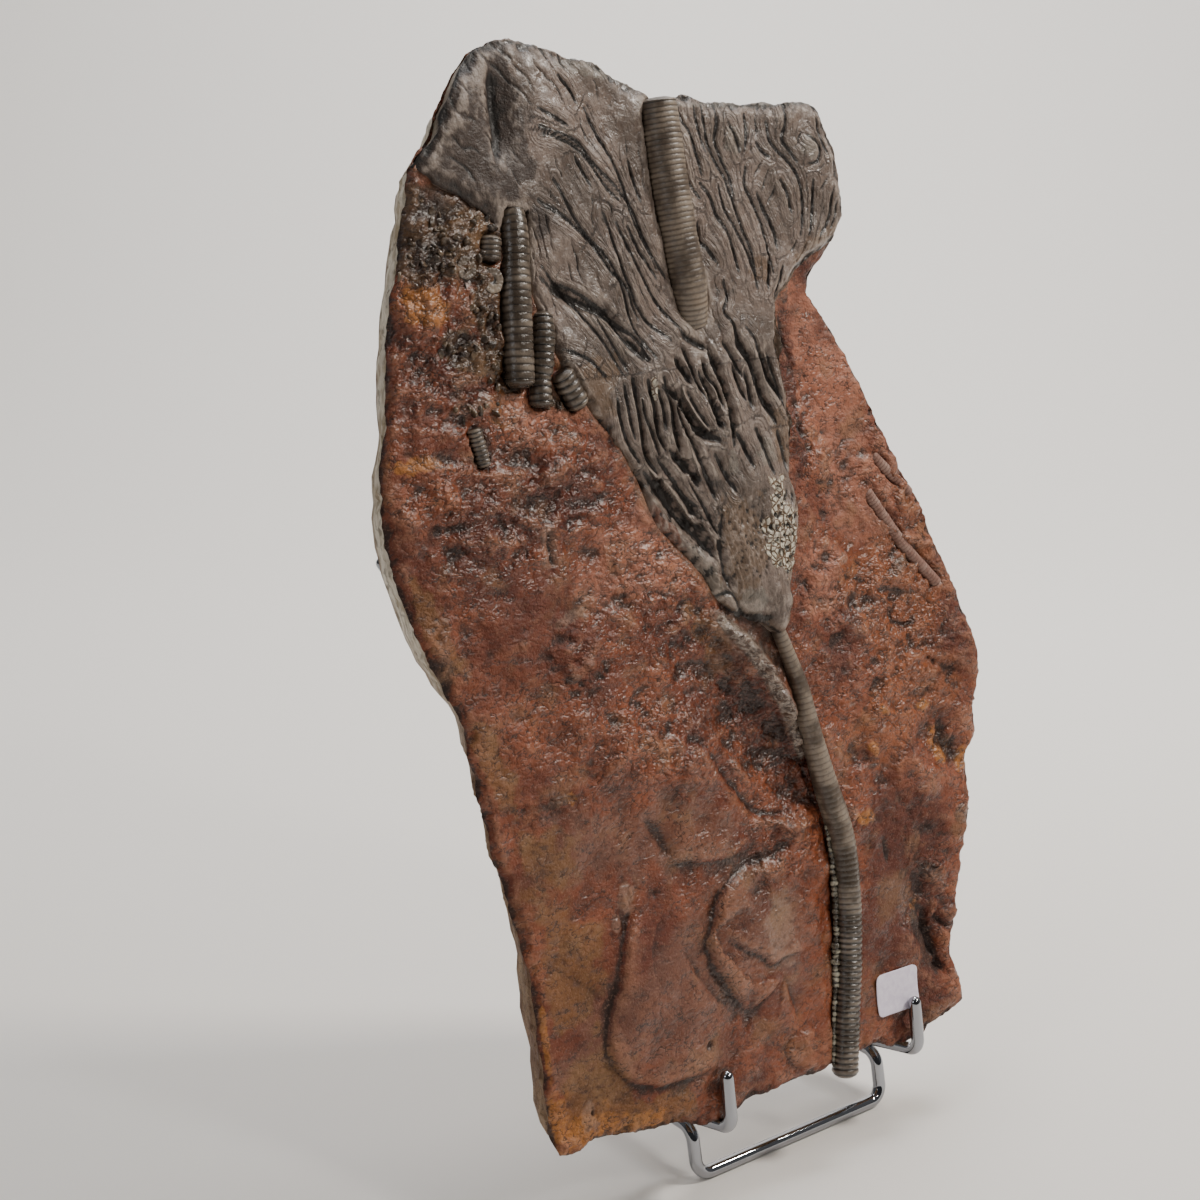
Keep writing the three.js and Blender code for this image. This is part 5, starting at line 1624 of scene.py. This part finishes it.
def make_stem(number, name, path, radii):
    line = smooth_line([(*point, radius) for point, radius in zip(path, radii)], spacing=1)
    pitch, *settings = STEM_SETTINGS[name]
    thickness = swelling(line, spacing=1.0, share=0.02, lump=17, seed=501 + number)
    finish = faint if name.startswith("thin") else stem
    piece = ringed.make(name + "_rings", line_object(placed(line[:, :3]), thickness), finish,
                        Pitch=pitch * MM, Seed=float(number), **dict(zip(SETTING_NAMES, settings)))
    return put(piece, name, finish)


make_stem(0, "main_stem", MAIN_STEM["path"], MAIN_STEM["radii"])
for number, (name, (path, radius)) in enumerate(COLUMNS.items(), 1):
    piece = make_stem(number, name, [point[:3] for point in path], own_radii(path, radius))
    print(name, len(piece.data.polygons), "faces")

# %% [markdown]
# Along the lower stem runs a narrow row of pale, wet-looking beads, the remains of the fine side threads that
# once grew from each disc. The stem's own recipe makes it too, with a small radius and deep, uneven pinches.

# %% Row of beads beside the stem
BEAD_ROW = [(14.2, 94, 0.2, 0.6), (14.6, 86, 0.9, 1.1), (14.9, 74, 1.1, 1.2), (14.1, 62, 1.3, 1.3),
            (12.7, 50, 1.4, 1.4), (10.9, 40, 1.5, 1.7), (9.6, 32, 1.5, 1.2), (7.8, 22, 1.5, 1.0),
            (5.8, 10, 1.4, 0.9), (4.9, 3, 1.4, 0.8)]
BEAD_SPACING = 0.5
BEAD_WAVER = 0.4  # how far the row strays sideways

bead = Finish("bead_crust", Roughness=0.2, Specular_IOR_Level=0.7)
pearl = bead.over((70, 62, 50), (170, 164, 144), bead.grain(3.5, seed=25.0, detail=4.0), 0.46, 0.60)
bead.feed("Base Color", dark_joints(bead, pearl, (34, 29, 24), 0.3, 0.95, 0.8))
bead.feed("Normal", bead.bump(bead.grain(1.2, seed=26.0), 0.7))

bead_line = smooth_line(BEAD_ROW, spacing=BEAD_SPACING)
bead_radii = swelling(bead_line, BEAD_SPACING, share=0.25, lump=3.5, seed=531)
run = np.arange(len(bead_line)) * BEAD_SPACING
bead_line[:, 0] += BEAD_WAVER * noise(run, run * 0, size=4, seed=532)
beads = ringed.make("bead_row", line_object(placed(bead_line[:, :3]), bead_radii), bead, Pitch=2.15 * MM,
                    Depth=0.45, Uneven=0.22, Flatness=0.6, Worn_Share=0.0, Seed=31.0)
put(beads, None, bead)
print("bead row faces:", len(beads.data.polygons))

# %% [markdown]
# Two discs lie loose with their round faces up. Each is a low drum with a rounded rim, fine spokes on its
# rim and a hollow in the middle. A lathe would make it too round, so it is drawn ring by ring from the
# middle out and down the side, with a waver in every ring.

# %% Loose discs
DISC_TOP, DISC_BOTTOM, DISC_SIDES, SPOKES = 2.4, -2.0, 72, 18
DISC_PROFILE = [  # share of the radius, drop from the top
    (0.06, -0.5), (0.16, -0.48), (0.24, -0.3), (0.32, -0.02), (0.42, 0.08), (0.55, -0.02), (0.66, 0.0),
    (0.76, 0.06), (0.86, 0.1), (0.94, 0.0), (0.985, -0.3), (1.0, -0.8), (0.98, -1.5),
    (0.98, DISC_BOTTOM - DISC_TOP)]


def disc_body(at, radius):
    angle = np.linspace(0, 2 * math.pi, DISC_SIDES, endpoint=False)
    waver = 1 + 0.03 * np.sin(3 * angle + at[0]) + 0.02 * np.sin(7 * angle + at[1])
    body = Body()
    above = None
    for share, drop in DISC_PROFILE:
        u = at[0] + radius * share * waver * np.cos(angle)
        v = at[1] + radius * share * waver * np.sin(angle)
        spokes = 0.09 * step(0.6, 0.8, share) * np.sin(SPOKES * angle) if drop > -1 else 0
        height = DISC_TOP + drop + spokes + 0.12 * layers(u, v, size=2.2, count=3, seed=601)
        ring = body.add(np.column_stack([u, v, height]), crest=np.full(DISC_SIDES, step(-0.45, 0.05, drop)))
        if above is None:
            body.faces.append(ring.tolist())
        else:
            body.band(above, ring)
        above = ring
    body.faces.append(above[::-1].tolist())
    return body


for name, (at, radius) in COLUMNAL_RINGS.items():
    put(disc_body(at, radius).make(name + "_disc"), name, stem)
print("loose discs:", len(COLUMNAL_RINGS))

# %% [markdown]
# Around them the stone is full of broken bits of stem and shell. They are small and many, so Geometry Nodes
# scatters them: one rough chip on every given point, turned and sized at random from a seed. The points are
# thrown around six middles and set down on the face of the slab.

# %% Broken bits
RUBBLE = [  # middle, spread, share of all bits
    ((-124, 316), (17, 13), 0.36), ((-110, 286), (6, 20), 0.2), ((-124, 284), (8, 5), 0.08),
    ((-118, 262), (9, 4), 0.05), ((-88, 262), (8, 5), 0.06), ((-104, 320), (9, 8), 0.25)]
RUBBLE_COUNT, RUBBLE_SEED, RUBBLE_SPREAD, RUBBLE_SUNK = 130, 7, 0.55, 0.1
TURN_SEED, SIZE_SEED = 5, 6
FULL_TURN = 6.28


def rubble_points():
    chance = np.random.default_rng(RUBBLE_SEED)
    places = np.vstack([
        np.array(at) + np.array(size) * chance.normal(0, RUBBLE_SPREAD, (round(RUBBLE_COUNT * share), 2))
        for at, size, share in RUBBLE])
    outline = SLAB_OUTLINE["left"] + SLAB_OUTLINE["top"] + SLAB_OUTLINE["right"][::-1]
    return places[inside(np.array(outline), *places.T)]


def surface_under(u, v, every=2):
    """The face's height at the nearest grid point, of every second one each way."""
    grid_u, grid_v, grid_w = (grid[::every, ::every].ravel() for grid in (slab_u, slab_v, slab_w))
    return grid_w[Nearest(np.column_stack([grid_u, grid_v])).index(u, v)]


def chip_recipe():
    tree = Recipe("broken_bits", Size=0.0013)
    points = tree.node("GeometryNodeMeshToPoints", inputs={0: tree.input("Line")})
    disc = tree.node("GeometryNodeMeshCylinder", inputs={
        "Vertices": 12, "Side Segments": 2, "Fill Segments": 2, "Radius": 1.0, "Depth": 0.7})
    place = tree.node("GeometryNodeInputPosition")
    dents = tree.node("ShaderNodeTexNoise", None, {"Vector": place, "Scale": 1.3, "Detail": 1.0}, "Color")
    pushed = tree.node("ShaderNodeVectorMath", {"operation": "SUBTRACT"}, {0: dents, 1: (0.5, 0.5, 0.5)})
    chip = tree.node("GeometryNodeSetPosition", inputs={"Geometry": disc, "Offset": pushed})
    turn, size = (tree.node("FunctionNodeRandomValue", {"data_type": "FLOAT_VECTOR"},
                            {"Min": least, "Max": most, "Seed": seed}, output=0)
                  for least, most, seed in (((0.0,) * 3, (FULL_TURN,) * 3, TURN_SEED),
                                            ((0.4, 0.4, 0.4), (1.1, 1.0, 1.4), SIZE_SEED)))
    scale = tree.node("ShaderNodeVectorMath", {"operation": "SCALE"}, {0: size, "Scale": tree.input("Size")})
    tree.end(tree.node("GeometryNodeInstanceOnPoints", inputs={
        "Points": points, "Instance": chip, "Rotation": turn, "Scale": scale}))
    return tree


chip_finish = Finish("broken_fossil", Roughness=0.45, Coat_Weight=0.5, Coat_Roughness=0.18)
chip_finish.feed("Base Color", chip_finish.over((58, 45, 34), (104, 84, 62),
                                                chip_finish.grain(5, seed=41.0), 0.4, 0.62))
chip_finish.feed("Normal", chip_finish.bump(chip_finish.grain(0.9, seed=42.0, detail=2.0), 0.25))
rubble = rubble_points()
rubble_w = surface_under(*rubble.T) - RUBBLE_SUNK
host = line_object(placed(np.column_stack([rubble, rubble_w])), np.ones(len(rubble)))
bits = chip_recipe().make("broken_bits", host, chip_finish, Size=1.6 * MM)
put(bits, None, chip_finish)
print("broken bits:", len(rubble), "faces:", len(bits.data.polygons))

# %% [markdown]
# ## Label
#
# A small paper label with round corners is stuck on at the lower right. It is a thin sheet that lifts a
# little at its corners, and it is left bare. Bending a flat plane would leave it without thickness, so it is
# a closed body too: a front grid, a back grid and the band between them.

# %% Label
LABEL_AT, LABEL_SIZE, LABEL_CORNER, LABEL_TURN = (42.5, 21.8), (22, 16.5), 2.5, -1.5
LABEL_LIFT, LABEL_THICKNESS = 0.42, 0.22
LABEL_COLUMNS, LABEL_ROWS = 44, 34


def label_body():
    half_w, half_h = LABEL_SIZE[0] / 2, LABEL_SIZE[1] / 2
    t = np.linspace(-1, 1, LABEL_ROWS + 1)[:, None] * half_h
    inset = np.maximum(abs(t) - (half_h - LABEL_CORNER), 0)
    reach = half_w - LABEL_CORNER + np.sqrt(np.maximum(LABEL_CORNER ** 2 - inset ** 2, 0.04))
    x = np.linspace(-1, 1, LABEL_COLUMNS + 1)[None, :] * reach
    y = t + 0 * x
    c, s = math.cos(math.radians(LABEL_TURN)), math.sin(math.radians(LABEL_TURN))
    u, v = LABEL_AT[0] + x * c - y * s, LABEL_AT[1] + x * s + y * c
    corner_lift = 0.5 * (x / half_w) ** 4 * (y / half_h) ** 2
    lift = LABEL_LIFT + corner_lift + 0.10 * np.sin(u / 3.1) + 0.08 * np.cos(v / 2.3)
    body = Body()
    front, back = (body.add(np.dstack([u, v, lift - deep])).reshape(u.shape)
                   for deep in (0, LABEL_THICKNESS))
    body.grid(front)
    body.grid(back, flip=True)
    places = rim_of(LABEL_COLUMNS, LABEL_ROWS)
    body.band(front[places], back[places])
    return body


paper = Finish("label_paper", Roughness=0.5, Coat_Weight=0.15, Coat_Roughness=0.3)
fibres = paper.grain(2.2, seed=31.0, detail=4.0)
paper.feed("Base Color", paper.over((226, 216, 234), (238, 230, 244), fibres, 0.35, 0.65))
paper.feed("Normal", paper.bump(fibres, 0.05))
put(label_body().make("paper_label"), "label", paper)
print("label size:", LABEL_SIZE)

# %% [markdown]
# ## Wire stand
#
# The stand is bent from round wire and chromed: a closed loop with a front and a rear bar, and two side
# wires that end in hooks in front of the slab. Each is a line of corners. A curve object with a bevel would
# do, but its cut ends would be flat. The tree rounds the corners, rounds the cut ends and sweeps the wire's
# circle along the line.

# %% Wire recipe
WIRE_SIDES = 32
CORNER_POINTS = 14


def wire_recipe():
    tree = Recipe("bent_wire", Bend=0.006, Step=0.0007, Round_Ends=1.0)
    line = tree.node("GeometryNodeMeshToCurve", inputs={0: tree.input("Line")})
    line = tree.node("GeometryNodeFilletCurve", {"mode": "POLY"}, {
        0: line, "Count": CORNER_POINTS, "Radius": tree.input("Bend"), "Limit Radius": True})
    line = tree.node("GeometryNodeResampleCurve", {"mode": "LENGTH"}, {0: line, 3: tree.input("Step")})
    _, nearest_end = tree.place_along()

    def rounded(thickness):
        """The wire's radius, which shrinks to nothing in a half round at a cut end."""
        into = (nearest_end / thickness + 0.02).math("MINIMUM", 1.0)
        dome = (1.0 - (1.0 - into) ** 2.0).math("SQRT")
        return thickness * (1.0 - tree.input("Round_Ends") * (1.0 - dome))

    tree.end(tree.sweep(line, WIRE_SIDES, rounded))
    return tree


bent = wire_recipe()
print("wire recipe nodes:", len(bent.tree.nodes))

# %% [markdown]
# The corners of the three wires are the same as those of the solids. Chrome needs no pattern: it is a plain
# mirror, slightly grey, and the lights give it its shape.

# %% The wires of the stand
BASE_HALF_WIDTH, BASE_LENGTH, RAIL_HEIGHT, LEG_LEAN = 47.7, 86, 20.4, 3.9
FRONT_BAR_START = 20  # the loop's line starts and ends on the front bar, this far from its left end
SEAT_HALF_WIDTH, REST_DEPTH = 48, -28.5
HOOK_TIP, SEAT_FRONT, SEAT_BACK = (18.5, 3.4), (-3.2, 3), (-4.1, REST_DEPTH)  # v and w
BASE_CORNERS = [(-BASE_HALF_WIDTH + FRONT_BAR_START, 0, WIRE_RADIUS), (BASE_HALF_WIDTH, 0, WIRE_RADIUS),
                (BASE_HALF_WIDTH, LEG_LEAN, RAIL_HEIGHT), (BASE_HALF_WIDTH, BASE_LENGTH, RAIL_HEIGHT),
                (BASE_HALF_WIDTH, BASE_LENGTH, WIRE_RADIUS), (-BASE_HALF_WIDTH, BASE_LENGTH, WIRE_RADIUS),
                (-BASE_HALF_WIDTH, BASE_LENGTH, RAIL_HEIGHT), (-BASE_HALF_WIDTH, LEG_LEAN, RAIL_HEIGHT),
                (-BASE_HALF_WIDTH, 0, WIRE_RADIUS)]
RESTS = {"left": [(-103.5, 63, REST_DEPTH), (-100, 140, REST_DEPTH), (-144.5, 218, REST_DEPTH)],
         "right": [(70, 63, REST_DEPTH), (66, 140, REST_DEPTH), (62, 200, REST_DEPTH)]}
chrome = Finish("chrome_wire", Metallic=1.0, Roughness=0.05, Base_Color=colour(158, 160, 165))


def make_wire(name, points, node, bend, closed=False):
    host = line_object(points, np.full(len(points), WIRE_RADIUS * MM), closed)
    piece = bent.make(name, host, chrome, Bend=bend * MM, Round_Ends=0.0 if closed else 1.0)
    print(name, "faces:", len(piece.data.polygons))
    return put(piece, node, chrome)


make_wire("base_loop", placed(BASE_CORNERS, stand_frame), "stand_base", bend=6, closed=True)
for side_name, u in (("left", -SEAT_HALF_WIDTH), ("right", SEAT_HALF_WIDTH)):
    corners = [(u, *HOOK_TIP), (u, *SEAT_FRONT), (u, *SEAT_BACK), *RESTS[side_name]]
    make_wire(side_name + "_side_wire", placed(corners), "stand_side_" + side_name, bend=5)

# %% [markdown]
# ## Floor, light and the end
#
# A pale floor that curves up behind keeps the picture plain. A flat plane would show a horizon, so one strip
# follows a profile: flat, a quarter circle, and a straight wall.

# %% Floor
FLOOR_NEAR, FLOOR_FAR, FLOOR_HALF_WIDTH = -2.2, 0.9, 3.0
CURVE_RADIUS, WALL_TOP = 0.9, 2.6


def floor_object():
    profile = [(FLOOR_NEAR, 0.0), (FLOOR_FAR, 0.0)]
    profile += [(FLOOR_FAR + CURVE_RADIUS * math.sin(a), CURVE_RADIUS - CURVE_RADIUS * math.cos(a))
                for a in np.linspace(0.1, math.pi / 2, 20)]
    profile += [(FLOOR_FAR + CURVE_RADIUS, WALL_TOP)]
    heading = math.radians(HEADING)
    ahead = Vector((math.sin(heading), math.cos(heading), 0))
    across = Vector((math.cos(heading), -math.sin(heading), 0))
    points, faces = [], []
    for i, (far, up) in enumerate(profile):
        for wide in (-FLOOR_HALF_WIDTH, FLOOR_HALF_WIDTH):
            points.append(ahead * far + across * wide + Vector((0, 0, up + table_height)))
        if i:
            faces.append((2 * i - 2, 2 * i - 1, 2 * i + 1, 2 * i))
    mesh = bpy.data.meshes.new("floor")
    mesh.from_pydata(points, [], faces)
    mesh.shade_smooth()
    return add_object("floor", mesh)


plain = Finish("plain_floor", Base_Color=colour(238, 234, 229), Roughness=0.7, Specular_IOR_Level=0.2)
floor = floor_object()
floor.data.materials.append(plain.material)
print("floor at", round(min(p.co.z for p in floor.data.vertices), 5))

# %% [markdown]
# Raking light brings out relief, so the key light stands far to the right and is small. A small front light
# and a soft one from the left lift the shade. The room itself is dim, and dimmer on the viewer's side, which
# gives the chrome something dark to mirror; only the camera sees it bright.

# %% Light
SUBJECT = (0, 0, 0.2)
LIGHTS = {  # place, aim, size, watts, tint
    "key": ((0.85, -0.62, 1.2), SUBJECT, (0.2, 0.2), 15, (1.0, 0.94, 0.86)),
    "front": ((0.25, -1.15, 1.12), SUBJECT, (0.16, 0.16), 4, (1.0, 0.95, 0.88)),
    "left_fill": ((-1.3, -0.3, 0.9), SUBJECT, (0.35, 0.5), 2.4, (0.97, 0.98, 1.0)),
    "top": ((-0.2, 0.2, 1.7), SUBJECT, (0.6, 0.5), 2.5, (1, 1, 1)),
    "backdrop": ((0.5, 0.3, 1.6), (1.0, 1.5, 0.5), (1.0, 1.0), 34, (1, 1, 1)),
}
ROOM_SEEN, ROOM_LIGHT, ROOM_DARKER = 0.85, 0.17, 0.12


def area_light(name, at, aim, size, power, tint):
    data = bpy.data.lights.new(name, "AREA")
    data.shape = "RECTANGLE"
    data.size, data.size_y = size
    data.energy = power
    data.color = tint
    lamp = add_object(name, data)
    lamp.location = at
    lamp.rotation_euler = (Vector(aim) - Vector(at)).to_track_quat("-Z", "Y").to_euler()


for name, settings in LIGHTS.items():
    area_light(name, *settings)
world = bpy.data.worlds.new("room")
world.use_nodes = True
bpy.context.scene.world = world
room = Graph(world.node_tree)
seen = room.node("ShaderNodeLightPath", output="Is Camera Ray")
way = room.node("ShaderNodeTexCoord", output="Generated")
to_viewer = (-math.sin(math.radians(HEADING)), -math.cos(math.radians(HEADING)), 0.0)
facing = room.node("ShaderNodeVectorMath", {"operation": "DOT_PRODUCT"}, {0: way, 1: to_viewer}, "Value")
strength = (ROOM_LIGHT - room.ease(facing, 0.1, 0.7) * ROOM_DARKER) * (1.0 - seen) + seen * ROOM_SEEN
background = world.node_tree.nodes["Background"]
background.inputs["Color"].default_value = (0.86, 0.86, 0.88, 1)
world.node_tree.links.new(strength.output, background.inputs["Strength"])
print("lights:", ", ".join(LIGHTS))

# %% [markdown]
